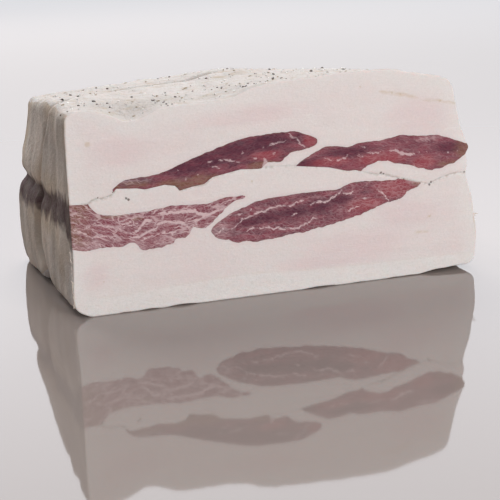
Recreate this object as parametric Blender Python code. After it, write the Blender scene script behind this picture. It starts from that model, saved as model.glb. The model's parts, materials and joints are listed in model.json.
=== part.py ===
"""Lardo: a block of cured pork back fat, made of two slabs pressed together, lean sides in.

The front face (at -Y) and the back face are clean cuts across the block. The top, the ends and
the underside are the cured outside, with a lengthwise crease that turns down over the left end.
Each slab is one solid of fat with two lean muscles that run right through it, front to back.
X runs along the cut face, Z is up, and the origin is at the middle of the underside.
"""

import math
import random

import bmesh
import bpy
from mathutils import Matrix, Vector

# Driving sizes of the block, in millimetres
MM = 0.001
LENGTH = 218.0
DEPTH = 122.0
HEIGHT = 109.0
FRONT_Y = -DEPTH / 2
JOIN_GAP = 0.3
DEPTH_DROP = 6.7  # how much lower the seam and the muscles lie at the back than at the front

# How finely the outside is cut into faces
CELL = 6.4
EDGE_SLICES = (2.0, 4.5)
FLAT_WITHIN = 0.01
MERGE_WITHIN = 0.02
MERGE_IN_OUTLINE = 0.001
SLICE_SNAP = 0.00001  # on the plain box, before it is moved to its place

# The middle of the block's box, on the X scale that the outlines below use
MIDDLE_X = -1.5

# Corner rounding of the section across Y: the lower left one is tighter towards the back
CORNER_TOP_LEFT = 5.0
CORNER_TOP_RIGHT = 4.0
CORNER_BOTTOM_LEFT = (9.5, 4.0)
CORNER_BOTTOM_RIGHT = 6.0

# Height of the top edge along the front cut and along the back cut: (x, z)
FRONT_TOP = ((-109, 99.5), (-101, 100.4), (-84, 100.2), (-60, 99.8), (-40, 100.2), (-24, 101.6),
             (-15, 105.0), (2, 107.9), (20, 108.5), (35, 109.0), (52, 109.0), (66, 107.2),
             (86, 104.2), (95, 101.0), (109, 98.0))
BACK_TOP = ((-109, 90.6), (-85, 93.3), (-60, 95.0), (-33, 96.8), (5, 99.4), (17, 98.4),
            (58, 95.6), (84, 94.3), (109, 91.0))
# Where the front edge of the top is pressed down, and how far that reaches
DIP_X, DIP_DEPTH, DIP_LENGTH, DIP_REACH = -76.0, 6.2, 11.0, 17.0

# The crease runs along the top (x, y) and turns down over the left end (z, y)
CREASE_TOP = ((-109, -20), (-96, -8), (-76, 10), (-55, 19), (-20, 27), (15, 33), (109, 44))
CREASE_END = ((0, -2), (10, 3), (25, 12), (40, 9), (57, 5), (72, -1), (85, -11), (100, -20))
CREASE_DEPTH, CREASE_WIDTH = 2.6, 3.6
CREASE_FADE = (-40.0, 60.0)  # where along X the crease and its swells begin and end to die out
CREASE_LOSS = 0.85  # the share of them that is gone there
GROOVE_DEPTH, GROOVE_WIDTH = 3.6, 4.5
GROOVE_FOOT = 8.0  # how high the groove lifts the lower edge of the left end
GROOVE_FOOT_REACH, GROOVE_FOOT_SIDE = 7.0, 3.0  # how far in, and how far behind the groove

# The two swells beside the crease: (distance from it along Y, half width, height)
SWELLS = ((-13.0, 11.0, 2.2), (16.0, 12.0, 2.2))
SWELL_MARGIN = 13.0  # how far from the cuts the swells reach their full height
RIPPLE = 0.35
RIPPLE_WAVES = ((9.0, 21.0), (6.5, 31.0))

# Place of the two ends, each along its front or back edge: (z, x)
LEFT_FRONT = ((0, -108.3), (20, -108.0), (60, -107.6), (88, -107.6), (100, -106.6))
LEFT_BACK = ((0, -110.4), (10, -111.8), (31, -111.6), (44, -110.3), (50, -106.6), (56, -109.2),
             (63, -109.0), (70, -107.2), (80, -105.2), (92, -103.6), (100, -103.0))
RIGHT_FRONT = ((0, 107.8), (9, 109.0), (19, 109.0), (29, 107.2), (39, 106.2), (52, 103.2),
               (57, 104.1), (62, 103.4), (65.5, 105.0), (69, 103.4), (78, 100.2), (89, 97.2),
               (97, 94.9), (103, 93.4))
LOBE_SWELL, LOBE_LEVEL, LOBE_HEIGHT = 1.6, HEIGHT / 4, 35.0
RIGHT_BACK_PULL = 4.0
RIGHT_WAVE, RIGHT_WAVE_RUN = 1.2, (11.0, 17.0)
# How far the lower right edge is lifted, where that starts, how fast, and how deep it reaches
RIGHT_LIFT, LIFT_START, LIFT_RUN, LIFT_REACH = 1.8, 72.0, 16.0, 45.0

# The seam between the slabs at the front cut: (x, z), left to right
SEAM = ((-118, 56.3), (-107.5, 56.3), (-98.4, 55.9), (-95.9, 57.8), (-91, 57.8), (-86.6, 59),
        (-84.5, 62), (-74.2, 61.2), (-70.3, 60.3), (-60.3, 61.6), (-54.9, 60.5), (-53, 57.9),
        (-46.9, 59.2), (-40.2, 60.1), (-36, 63.1), (-22, 65.5), (-12.7, 64.9), (-7.4, 65.4),
        (4.2, 64.8), (25.7, 62.1), (35.5, 59.3), (39.9, 59.4), (48.7, 56.5), (57.6, 54.9),
        (65.5, 52.4), (81, 48.1), (87.3, 50.4), (96, 52.4), (118, 52.4))

# The lean muscles at the front cut, clockwise from the left: (x, z). Where a muscle lies bare
# at the seam or at an end, its outline runs on past that face, which trims it.
MUSCLES = {
    "lean_upper_left": {
        "slab": "upper",
        "outline": ((-86.5, 61.8), (-82.4, 64.9), (-76.4, 66.5), (-71.5, 66.3), (-63.5, 67.2),
                    (-56.5, 69.5), (-46.3, 73.0), (-35.5, 76.5), (-22.6, 80.4), (-15.3, 81.5),
                    (1.4, 82.2), (7.8, 81.8), (14.6, 79.5), (19.4, 77.1), (18.0, 74.2),
                    (14.5, 72.7), (4.3, 71.3), (0.6, 68.7), (-1.6, 67.1), (-8.0, 67.8),
                    (-10.6, 65.4), (-13.0, 62.0), (-34.0, 58.0), (-55.0, 54.0), (-82.0, 57.0)),
        "shift": (-3.0, 0.0), "size": (0.9, 0.92)},
    "lean_upper_right": {
        "slab": "upper",
        "outline": ((5.5, 63.2), (10.1, 66.9), (17.1, 70.3), (23.6, 73.0), (36.7, 71.5),
                    (41.6, 73.3), (53.8, 73.3), (64.4, 75.2), (68.9, 74.8), (74.6, 73.9),
                    (85.4, 73.7), (94.0, 70.9), (102.2, 67.8), (107.0, 66.2), (107.0, 63.4),
                    (103.2, 62.8), (98.3, 59.2), (89.0, 56.4), (82.5, 55.4), (74.1, 57.5),
                    (62.2, 60.9), (56.0, 62.6), (49.8, 62.3), (44.8, 60.6), (41.0, 57.0),
                    (24.0, 58.0)),
        "shift": (-2.5, 0.5), "size": (0.87, 0.94)},
    "lean_lower_left": {
        "slab": "lower",
        "outline": ((-120.0, 60.0), (-99.4, 58.8), (-97.1, 53.6), (-93.4, 50.2), (-83.3, 48.9),
                    (-70.9, 49.4), (-57.3, 51.0), (-39.1, 50.0), (-31.3, 52.4), (-20.9, 52.4),
                    (-18.8, 51.8), (-26.7, 49.2), (-33.6, 43.9), (-36.9, 40.2), (-41.6, 37.9),
                    (-47.7, 39.6), (-48.9, 35.2), (-56.6, 34.0), (-58.5, 31.6), (-72.0, 30.2),
                    (-77.6, 35.2), (-83.2, 33.3), (-92.0, 34.3), (-100.8, 33.4),
                    (-120.0, 36.2)),
        "shift": (-3.0, -1.6), "size": (0.93, 0.78)},
    "lean_lower_right": {
        "slab": "lower",
        "outline": ((-38.2, 36.8), (-35.4, 39.8), (-26.4, 44.6), (-12.6, 49.0), (-2.0, 49.9),
                    (9.8, 50.3), (29.3, 50.5), (32.6, 51.3), (37.0, 53.3), (48.1, 53.0),
                    (62.2, 51.9), (66.0, 54.6), (76.0, 52.6), (77.5, 49.0), (70.1, 46.6),
                    (64.4, 42.1), (56.5, 40.8), (48.0, 38.0), (38.5, 35.6), (30.7, 33.1),
                    (14.3, 31.0), (0.2, 29.4), (-14.3, 28.2), (-26.9, 29.6), (-36.1, 32.4)),
        "shift": (2.0, 0.0), "size": (0.93, 1.0)},
}

# How far an outline's bar runs past the faces that it cuts
PAST_CUT, PAST_OUTSIDE = 4.0, 20.0

# Coarse pepper and herb flecks on the top, in millimetres
FLECK_COUNT, FLECK_TRIES = 64, 6000
FLECK_SIZE, FLECK_SHAPE = (1.5, 2.4), (1.0, 0.7, 0.5)
FLECK_SPACING = 11.0
FLECK_FROM_LEFT, FLECK_FROM_RIGHT, FLECK_FROM_CUT = 7.0, 22.0, 5.0
FLECK_SEED = 11

# Colours as linear values: red, green, blue
FAT_COLOUR, FAT_ROUGHNESS = (0.78, 0.66, 0.62), 0.45
LEAN_COLOUR, LEAN_ROUGHNESS = (0.23, 0.035, 0.045), 0.4

BLOCK = "lardo_block"


def profile(points, place):
    """Height of a smooth curve through the points, held level past its two ends."""
    if place <= points[0][0]:
        return float(points[0][1])
    if place >= points[-1][0]:
        return float(points[-1][1])
    i = next(k for k in range(1, len(points)) if place <= points[k][0]) - 1

    def slope(k):
        before, after = points[max(k - 1, 0)], points[min(k + 1, len(points) - 1)]
        return (after[1] - before[1]) / (after[0] - before[0])

    (x0, y0), (x1, y1) = points[i], points[i + 1]
    span = x1 - x0
    t = (place - x0) / span
    return ((2 * t ** 3 - 3 * t ** 2 + 1) * y0 + (t ** 3 - 2 * t ** 2 + t) * span * slope(i)
            + (3 * t ** 2 - 2 * t ** 3) * y1 + (t ** 3 - t ** 2) * span * slope(i + 1))


def bell(distance, width):
    return math.exp(-(distance / width) ** 2)


def ease(value):
    value = min(max(value, 0.0), 1.0)
    return value * value * (3 - 2 * value)


def depth_share(y):
    """0 at the front cut, 1 at the back cut."""
    return (y - FRONT_Y) / DEPTH


def top_height(x, y):
    """Height of the cured top: two lengthwise swells with the crease between them."""
    share = depth_share(y)
    from_front, from_back = y - FRONT_Y, -FRONT_Y - y
    height = (1 - share) * profile(FRONT_TOP, x) + share * profile(BACK_TOP, x)
    height -= DIP_DEPTH * bell(x - DIP_X, DIP_LENGTH) * bell(from_front, DIP_REACH)
    off_crease = y - profile(CREASE_TOP, x)
    starts, ends = CREASE_FADE
    fade = 1 - CREASE_LOSS * ease((x - starts) / (ends - starts))
    height -= fade * CREASE_DEPTH * bell(off_crease, CREASE_WIDTH)
    inside = (1 - bell(from_front, SWELL_MARGIN)) * (1 - bell(from_back, SWELL_MARGIN))
    for distance, half_width, rise in SWELLS:
        height += fade * inside * rise * bell(off_crease - distance, half_width)
    (long_x, long_y), (cross_y, cross_x) = RIPPLE_WAVES
    ripple = math.sin(x / long_x + y / long_y) + math.sin(y / cross_y - x / cross_x)
    return height + RIPPLE * ripple * inside


def left_end(y, z):
    """Place of the cured left end: two upright lobes with the groove between them."""
    share = depth_share(y)
    x = (1 - ease(share)) * profile(LEFT_FRONT, z) + ease(share) * profile(LEFT_BACK, z)
    groove = bell(y - profile(CREASE_END, z), GROOVE_WIDTH)
    swell = LOBE_SWELL * math.sin(math.pi * share) * bell(z - LOBE_LEVEL, LOBE_HEIGHT)
    return x + GROOVE_DEPTH * groove - swell * (1 - groove)


def right_end(y, z):
    """Place of the right end, which leans inwards and draws in towards the back."""
    share = depth_share(y)
    wave = RIGHT_WAVE * math.sin(y / RIGHT_WAVE_RUN[0] + z / RIGHT_WAVE_RUN[1])
    return profile(RIGHT_FRONT, z) - share * (RIGHT_BACK_PULL + wave)


def underside(x, y):
    """Flat where the block rests, lifted a little at the right front and under the groove."""
    from_front = y - FRONT_Y
    lift = RIGHT_LIFT * ease((x - LIFT_START) / LIFT_RUN) * (1 - ease(from_front / LIFT_REACH))
    near_end = bell(x + LENGTH / 2, GROOVE_FOOT_REACH)
    off_groove = y - CREASE_END[0][1] - GROOVE_FOOT_SIDE
    return lift + GROOVE_FOOT * near_end * bell(off_groove, 2 * GROOVE_WIDTH)


def round_corner(x, y, z):
    """Rounds the four long edges of the plain box, seen along Y."""
    front, back = CORNER_BOTTOM_LEFT
    lower_left = front + (back - front) * depth_share(y)
    if z > HEIGHT / 2:
        radius = CORNER_TOP_RIGHT if x > 0 else CORNER_TOP_LEFT
    else:
        radius = CORNER_BOTTOM_RIGHT if x > 0 else lower_left
    reach = LENGTH / 2 - radius
    centre = Vector((min(max(x, -reach), reach), min(max(z, radius), HEIGHT - radius)))
    offset = Vector((x, z)) - centre
    if offset.length > radius:
        offset *= radius / offset.length
    return centre + offset


def shaped(point):
    """Moves a point of the plain box to its place on the real block."""
    y = point.y
    plain_x, plain_z = round_corner(point.x, y, point.z)
    across, up = plain_x / LENGTH + 0.5, plain_z / HEIGHT

    def between_ends(z):
        return (1 - across) * left_end(y, z) + across * right_end(y, z)

    rough_x = between_ends(plain_z)
    z = (1 - up) * underside(rough_x, y) + up * top_height(rough_x, y)
    return Vector((between_ends(z), y, z))


def placed(point):
    """A point in millimetres on the outlines' own scale, moved to the part's frame in metres."""
    return (point - Vector((MIDDLE_X, 0, 0))) * MM


def slice_places(low, high):
    """Evenly spaced cuts between two ends, with closer ones beside each end."""
    steps = round((high - low) / CELL)
    inner = [low + (high - low) * k / steps for k in range(1, steps)]
    ends = [low + s for s in EDGE_SLICES] + [high - s for s in EDGE_SLICES]
    return sorted(inner + ends)


def block_mesh():
    """A box sliced along its three axes, each point then moved to the block's real outside."""
    bm = bmesh.new()
    bmesh.ops.create_cube(bm, size=1.0)
    bmesh.ops.scale(bm, vec=(LENGTH, DEPTH, HEIGHT), verts=bm.verts)
    bmesh.ops.translate(bm, vec=(0, 0, HEIGHT / 2), verts=bm.verts)
    corners = ((-LENGTH / 2, LENGTH / 2), (FRONT_Y, -FRONT_Y), (0, HEIGHT))
    for axis, (low, high) in enumerate(corners):
        normal = Vector([float(axis == k) for k in range(3)])
        for place in slice_places(low, high):
            bmesh.ops.bisect_plane(bm, geom=bm.verts[:] + bm.edges[:] + bm.faces[:],
                                   plane_co=normal * place, plane_no=normal, dist=SLICE_SNAP)
    for vert in bm.verts:
        vert.co = shaped(vert.co)
    for axis, side, place in ((1, -1, FRONT_Y), (1, 1, -FRONT_Y), (2, -1, 0.0)):
        flat = [face for face in bm.faces
                if all(side * (vert.co[axis] - place) > -FLAT_WITHIN for vert in face.verts)]
        bmesh.ops.dissolve_faces(bm, faces=flat, use_verts=True)
    for vert in bm.verts:
        vert.co = placed(vert.co)
    mesh = bpy.data.meshes.new("block")
    bm.to_mesh(mesh)
    bm.free()
    return mesh


def grown(outline, by):
    """The outline with every side moved outwards by a small distance (points run clockwise)."""
    moved = []
    for i, point in enumerate(outline):
        here = Vector(point)
        before = (here - Vector(outline[i - 1])).normalized()
        after = (Vector(outline[(i + 1) % len(outline)]) - here).normalized()
        out = (Vector((-before.y, before.x)) + Vector((-after.y, after.x))).normalized()
        stretch = 1 / max(out.dot(Vector((-before.y, before.x))), 0.5)
        moved.append(here + out * by * stretch)
    return moved


def prism(name, outline, shift=(0.0, 0.0), size=(1.0, 1.0)):
    """A flat outline carried through the block, lower and changed in size towards the back."""
    curve = bpy.data.curves.new(name, "CURVE")
    curve.dimensions = "2D"
    curve.fill_mode = "BOTH"
    curve.extrude = (DEPTH / 2 + PAST_CUT) * MM
    spline = curve.splines.new("POLY")
    spline.points.add(len(outline) - 1)
    for spot, (x, z) in zip(spline.points, outline):
        spot.co = (x * MM, z * MM, 0.0, 1.0)
    spline.use_cyclic_u = True
    drawn = bpy.data.objects.new(name, curve)
    guides.objects.link(drawn)
    bpy.context.view_layer.update()
    mesh = bpy.data.meshes.new_from_object(drawn.evaluated_get(bpy.context.evaluated_depsgraph_get()))
    bpy.data.objects.remove(drawn)
    bpy.data.curves.remove(curve)
    mesh.transform(Matrix.Rotation(math.pi / 2, 4, "X"))

    middle = [sum(values) / len(outline) for values in zip(*outline)]
    bm = bmesh.new()
    bm.from_mesh(mesh)
    bmesh.ops.remove_doubles(bm, verts=bm.verts, dist=MERGE_IN_OUTLINE * MM)
    for vert in bm.verts:
        x, y, z = vert.co / MM
        share = depth_share(y)
        x = middle[0] + (x - middle[0]) * (1 + (size[0] - 1) * share) + shift[0] * share
        z = middle[1] + (z - middle[1]) * (1 + (size[1] - 1) * share) + shift[1] * share
        vert.co = placed(Vector((x, y, z - DEPTH_DROP * share)))
    bmesh.ops.recalc_face_normals(bm, faces=bm.faces)
    bm.to_mesh(mesh)
    bm.free()
    mesh.name = name
    return mesh


def add_object(name, mesh, group):
    thing = bpy.data.objects.new(name, mesh)
    group.objects.link(thing)
    return thing


def hide_guide(guide):
    guide.hide_render = True
    guide.display_type = "WIRE"
    return guide


def boolean(piece, operation, other, solver="EXACT"):
    """Cuts, trims or joins a piece with another object or a collection, applied at once."""
    modifier = piece.modifiers.new(operation.title(), "BOOLEAN")
    modifier.operation = operation
    modifier.solver = solver
    if isinstance(other, bpy.types.Collection):
        modifier.operand_type = "COLLECTION"
        modifier.collection = other
    else:
        modifier.object = other
    bpy.context.view_layer.update()
    mesh = bpy.data.meshes.new_from_object(
        piece.evaluated_get(bpy.context.evaluated_depsgraph_get()))
    piece.modifiers.clear()
    old = piece.data
    piece.data = mesh
    bpy.data.meshes.remove(old)


def tidy_mesh(piece):
    """Merges points that a cut left on top of each other and drops flaps folded flat."""
    bm = bmesh.new()
    bm.from_mesh(piece.data)
    bmesh.ops.remove_doubles(bm, verts=bm.verts, dist=MERGE_WITHIN * MM)
    bmesh.ops.dissolve_degenerate(bm, edges=bm.edges, dist=MERGE_IN_OUTLINE * MM)
    same_corners = {}
    for face in bm.faces:
        same_corners.setdefault(frozenset(face.verts), []).append(face)
    flaps = [face for pair in same_corners.values() if len(pair) > 1 for face in pair]
    bmesh.ops.delete(bm, geom=flaps, context="FACES")
    bm.to_mesh(piece.data)
    bm.free()


def material(name, colour, roughness):
    finish = bpy.data.materials.new(name)
    finish.use_nodes = True
    shader = finish.node_tree.nodes["Principled BSDF"]
    shader.inputs["Base Color"].default_value = (*colour, 1.0)
    shader.inputs["Roughness"].default_value = roughness
    shader.inputs["Metallic"].default_value = 0.0
    return finish


def slab(name, seam_side):
    """The half of the block above (1) or below (-1) the seam, clear of it by half the gap."""
    piece = add_object(name, block_mesh(), parts)
    far = HEIGHT / 2 + seam_side * (HEIGHT / 2 + PAST_OUTSIDE)
    line = [(x, z + seam_side * JOIN_GAP / 2) for x, z in SEAM]
    outline = line + [(SEAM[-1][0], far), (SEAM[0][0], far)]
    half = hide_guide(add_object(name + "_half", prism(name + "_half", outline), guides))
    boolean(piece, "INTERSECT", half)
    return piece


def make_muscle(name, shape, whole_slab):
    """The lean inside its slab, and the wider channel that the fat leaves for it."""
    outline = shape["outline"]
    muscle = add_object(name, whole_slab.copy(), parts)
    core = hide_guide(add_object(name + "_core", prism(
        name + "_core", outline, shape["shift"], shape["size"]), guides))
    boolean(muscle, "INTERSECT", core)
    tidy_mesh(muscle)
    return hide_guide(add_object(name + "_channel", prism(
        name + "_channel", grown(outline, JOIN_GAP), shape["shift"], shape["size"]), guides))


def fleck_places():
    """Spots on the top, spread evenly by a seeded draw that keeps them apart."""
    draw = random.Random(FLECK_SEED)
    spots = []
    for _ in range(FLECK_TRIES):
        x = draw.uniform(-LENGTH / 2 + FLECK_FROM_LEFT, LENGTH / 2 - FLECK_FROM_RIGHT)
        y = draw.uniform(FRONT_Y + FLECK_FROM_CUT, -FRONT_Y - FLECK_FROM_CUT)
        if all(math.hypot(x - a, y - b) > FLECK_SPACING for a, b in spots):
            spots.append((x, y))
        if len(spots) == FLECK_COUNT:
            break
    return spots, draw


def add_flecks(piece):
    """Fuses the coarse pepper and herb flecks to the fat that they lie on."""
    group = bpy.data.collections.new("flecks")
    bpy.context.scene.collection.children.link(group)
    spots, draw = fleck_places()
    for number, (x, y) in enumerate(spots):
        bm = bmesh.new()
        bmesh.ops.create_icosphere(bm, subdivisions=1, radius=0.5)
        width = draw.uniform(*FLECK_SIZE)
        turn = Matrix.Rotation(draw.uniform(0, math.tau), 3, "Z")
        bmesh.ops.scale(bm, vec=Vector(FLECK_SHAPE) * width, verts=bm.verts)
        bmesh.ops.rotate(bm, cent=(0, 0, 0), matrix=turn, verts=bm.verts)
        for vert in bm.verts:
            vert.co = placed(vert.co + Vector((x, y, top_height(x, y))))
        mesh = bpy.data.meshes.new(f"fleck_{number}")
        bm.to_mesh(mesh)
        bm.free()
        add_object(f"fleck_{number}", mesh, group)
    boolean(piece, "UNION", group)
    for fleck in list(group.objects):
        bpy.data.objects.remove(fleck)
    bpy.data.collections.remove(group)


for leftover in list(bpy.data.objects):
    bpy.data.objects.remove(leftover)
parts = bpy.data.collections.new(BLOCK)
guides = bpy.data.collections.new("cutters")
for collection in (parts, guides):
    bpy.context.scene.collection.children.link(collection)

fat = material("cured_back_fat", FAT_COLOUR, FAT_ROUGHNESS)
lean = material("cured_lean", LEAN_COLOUR, LEAN_ROUGHNESS)

slabs = {"upper": slab("upper_fat", 1), "lower": slab("lower_fat", -1)}
wholes = {side: piece.data.copy() for side, piece in slabs.items()}
for muscle_name, muscle_shape in MUSCLES.items():
    channel = make_muscle(muscle_name, muscle_shape, wholes[muscle_shape["slab"]])
    boolean(slabs[muscle_shape["slab"]], "DIFFERENCE", channel)
add_flecks(slabs["upper"])
for piece in slabs.values():
    tidy_mesh(piece)
for node in parts.objects:
    node.data.materials.clear()
    node.data.materials.append(lean if node.name in MUSCLES else fat)
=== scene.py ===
"""Lardo: a block of cured pork back fat, dressed on its solid frame.

Two slabs lie together with their lean sides in. The front and the back are knife cuts, the top and
the ends are the cured outside, with pepper, dried herb and salt lying on the top. Shapes below are
worked out in millimetres on the outlines' own scale and moved to the frame in metres.
"""

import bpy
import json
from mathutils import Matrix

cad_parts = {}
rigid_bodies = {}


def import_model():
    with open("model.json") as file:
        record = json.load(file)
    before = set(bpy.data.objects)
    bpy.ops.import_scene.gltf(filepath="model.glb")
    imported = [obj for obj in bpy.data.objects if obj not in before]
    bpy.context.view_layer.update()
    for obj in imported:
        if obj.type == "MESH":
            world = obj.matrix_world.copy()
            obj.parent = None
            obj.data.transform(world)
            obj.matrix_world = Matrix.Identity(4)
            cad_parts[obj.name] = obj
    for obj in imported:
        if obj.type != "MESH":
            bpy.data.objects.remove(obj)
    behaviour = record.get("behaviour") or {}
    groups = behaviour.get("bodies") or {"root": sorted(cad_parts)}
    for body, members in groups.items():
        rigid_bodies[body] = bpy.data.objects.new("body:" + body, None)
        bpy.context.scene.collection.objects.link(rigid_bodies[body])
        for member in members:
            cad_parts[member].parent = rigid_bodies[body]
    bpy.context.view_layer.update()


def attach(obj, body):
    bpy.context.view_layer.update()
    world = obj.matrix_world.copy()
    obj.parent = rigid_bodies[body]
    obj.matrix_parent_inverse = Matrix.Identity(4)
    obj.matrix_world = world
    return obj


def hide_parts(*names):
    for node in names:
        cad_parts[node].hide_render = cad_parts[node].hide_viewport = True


bl_info = {
    "name": "Cured back fat block",
    "version": (1, 0, 0),
    "blender": (4, 5, 0),
    "location": "3D View > Sidebar > Lardo",
    "description": "Builds a peppered block of cured back fat with its lean, on its solid frame",
    "category": "Object",
}

import json
import math
import random

import bpy
import numpy as np
from bpy.props import FloatProperty, FloatVectorProperty, PointerProperty
from mathutils import Matrix, Vector, bvhtree, kdtree, noise

for leftover in list(bpy.data.objects):
    bpy.data.objects.remove(leftover)
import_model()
BODY = "root"
MM = 0.001

# The block's box before its corners and swells, as the solids have it
LENGTH = 218.0
DEPTH = 122.0
HEIGHT = 109.0
FRONT_Y = -DEPTH / 2
DEPTH_DROP = 6.7  # how much lower the seam and the muscles lie at the back than at the front
MIDDLE_X = -1.5  # the middle of the block's box on the outlines' scale
SEAM_LEVEL = 57.0  # the seam's mean height, where the two slabs' grids meet

# Corner rounding of the section across Y: the lower left one is tighter towards the back
CORNER_TOP = (5.0, 4.0)
CORNER_BOTTOM_LEFT = (9.5, 4.0)
CORNER_BOTTOM_RIGHT = 6.0

# Height of the top edge along the front cut and along the back cut: (x, z)
FRONT_TOP = ((-109, 99.5), (-101, 100.4), (-84, 100.2), (-60, 99.8), (-40, 100.2), (-24, 101.6),
             (-15, 105.0), (2, 107.9), (20, 108.5), (35, 109.0), (52, 109.0), (66, 107.2),
             (86, 104.2), (95, 101.0), (109, 98.0))
BACK_TOP = ((-109, 90.6), (-85, 93.3), (-60, 95.0), (-33, 96.8), (5, 99.4), (17, 98.4),
            (58, 95.6), (84, 94.3), (109, 91.0))
DIP_X, DIP_DEPTH, DIP_LENGTH, DIP_REACH = -76.0, 6.2, 11.0, 17.0
VALLEY = (-68.0, -36.0, 30.0, 20.0)  # the hollow before the crease, which gets painted shade: x, y and half sizes

# The crease runs along the top (x, y) and turns down over the left end (z, y)
CREASE_TOP = ((-109, -20), (-96, -8), (-76, 10), (-55, 19), (-20, 27), (15, 33), (109, 44))
CREASE_END = ((0, -2), (10, 3), (25, 12), (40, 9), (57, 5), (72, -1), (85, -11), (100, -20))
CREASE_DEPTH, CREASE_WIDTH = 2.6, 3.6
CREASE_FADE = (-40.0, 60.0)
GROOVE_DEPTH, GROOVE_WIDTH = 3.6, 4.5
GROOVE_FOOT, FOOT_LENGTH, FOOT_BEHIND = 8.0, 7.0, 3.0  # how the groove lifts the underside
SWELLS = ((-13.0, 11.0, 2.2), (16.0, 12.0, 2.2))
SWELL_MARGIN = 13.0
RIPPLE, RIPPLES = 0.35, ((9.0, 21.0), (-31.0, 6.5))  # height, and each one's run along X and Y

# Place of the two ends, each along its front or back edge: (z, x)
LEFT_FRONT = ((0, -108.3), (20, -108.0), (60, -107.6), (88, -107.6), (100, -106.6))
LEFT_BACK = ((0, -110.4), (10, -111.8), (31, -111.6), (44, -110.3), (50, -106.6), (56, -109.2),
             (63, -109.0), (70, -107.2), (80, -105.2), (92, -103.6), (100, -103.0))
RIGHT_FRONT = ((0, 107.8), (9, 109.0), (19, 109.0), (29, 107.2), (39, 106.2), (52, 103.2),
               (57, 104.1), (62, 103.4), (65.5, 105.0), (69, 103.4), (78, 100.2), (89, 97.2),
               (97, 94.9), (103, 93.4))
LOBE_SWELL, LOBE_HEIGHT = 1.6, 35.0
RIGHT_BACK_PULL = 4.0
RIGHT_WAVE, RIGHT_WAVE_RUN = 1.2, (11.0, 17.0)
RIGHT_LIFT, LIFT_FROM, LIFT_RUN, LIFT_DEPTH = 1.8, 72.0, 16.0, 45.0

# The seam between the slabs at the front cut: (x, z), left to right
SEAM = ((-118, 56.3), (-107.5, 56.3), (-98.4, 55.9), (-95.9, 57.8), (-91, 57.8), (-86.6, 59),
        (-84.5, 62), (-74.2, 61.2), (-70.3, 60.3), (-60.3, 61.6), (-54.9, 60.5), (-53, 57.9),
        (-46.9, 59.2), (-40.2, 60.1), (-36, 63.1), (-22, 65.5), (-12.7, 64.9), (-7.4, 65.4),
        (4.2, 64.8), (25.7, 62.1), (35.5, 59.3), (39.9, 59.4), (48.7, 56.5), (57.6, 54.9),
        (65.5, 52.4), (81, 48.1), (87.3, 50.4), (96, 52.4), (118, 52.4))

# The lean muscles at the front cut, clockwise from the left: (x, z), with the way that their
# fibres run: (x, z) along the middle of the muscle
MUSCLES = {
    "lean_upper_left": {
        "side": 1,
        "outline": ((-86.5, 61.8), (-82.4, 64.9), (-76.4, 66.5), (-71.5, 66.3), (-63.5, 67.2),
                    (-56.5, 69.5), (-46.3, 73.0), (-35.5, 76.5), (-22.6, 80.4), (-15.3, 81.5),
                    (1.4, 82.2), (7.8, 81.8), (14.6, 79.5), (19.4, 77.1), (18.0, 74.2),
                    (14.5, 72.7), (4.3, 71.3), (0.6, 68.7), (-1.6, 67.1), (-8.0, 67.8),
                    (-10.6, 65.4), (-13.0, 62.0), (-34.0, 58.0), (-55.0, 54.0), (-82.0, 57.0)),
        "shift": (-3.0, 0.0), "size": (0.9, 0.92),
        "grain": ((-90, 62), (-60, 64.5), (-30, 70), (-5, 75), (20, 77))},
    "lean_upper_right": {
        "side": 1,
        "outline": ((5.5, 63.2), (10.1, 66.9), (17.1, 70.3), (23.6, 73.0), (36.7, 71.5),
                    (41.6, 73.3), (53.8, 73.3), (64.4, 75.2), (68.9, 74.8), (74.6, 73.9),
                    (85.4, 73.7), (94.0, 70.9), (102.2, 67.8), (107.0, 66.2), (107.0, 63.4),
                    (103.2, 62.8), (98.3, 59.2), (89.0, 56.4), (82.5, 55.4), (74.1, 57.5),
                    (62.2, 60.9), (56.0, 62.6), (49.8, 62.3), (44.8, 60.6), (41.0, 57.0),
                    (24.0, 58.0)),
        "shift": (-2.5, 0.5), "size": (0.87, 0.94),
        "grain": ((0, 64), (25, 67.5), (50, 68), (80, 66), (106, 65))},
    "lean_lower_left": {
        "side": -1,
        "outline": ((-120.0, 60.0), (-99.4, 58.8), (-97.1, 53.6), (-93.4, 50.2), (-83.3, 48.9),
                    (-70.9, 49.4), (-57.3, 51.0), (-39.1, 50.0), (-31.3, 52.4), (-20.9, 52.4),
                    (-18.8, 51.8), (-26.7, 49.2), (-33.6, 43.9), (-36.9, 40.2), (-41.6, 37.9),
                    (-47.7, 39.6), (-48.9, 35.2), (-56.6, 34.0), (-58.5, 31.6), (-72.0, 30.2),
                    (-77.6, 35.2), (-83.2, 33.3), (-92.0, 34.3), (-100.8, 33.4),
                    (-120.0, 36.2)),
        "shift": (-3.0, -1.6), "size": (0.93, 0.78),
        "grain": ((-112, 47), (-90, 43), (-72, 39.5), (-58, 41), (-40, 46), (-18, 52))},
    "lean_lower_right": {
        "side": -1,
        "outline": ((-38.2, 36.8), (-35.4, 39.8), (-26.4, 44.6), (-12.6, 49.0), (-2.0, 49.9),
                    (9.8, 50.3), (29.3, 50.5), (32.6, 51.3), (37.0, 53.3), (48.1, 53.0),
                    (62.2, 51.9), (66.0, 54.6), (76.0, 52.6), (77.5, 49.0), (70.1, 46.6),
                    (64.4, 42.1), (56.5, 40.8), (48.0, 38.0), (38.5, 35.6), (30.7, 33.1),
                    (14.3, 31.0), (0.2, 29.4), (-14.3, 28.2), (-26.9, 29.6), (-36.1, 32.4)),
        "shift": (2.0, 0.0), "size": (0.93, 1.0),
        "grain": ((-40, 34), (-20, 37), (0, 39), (30, 42), (55, 46.5), (78, 50))},
}

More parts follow.
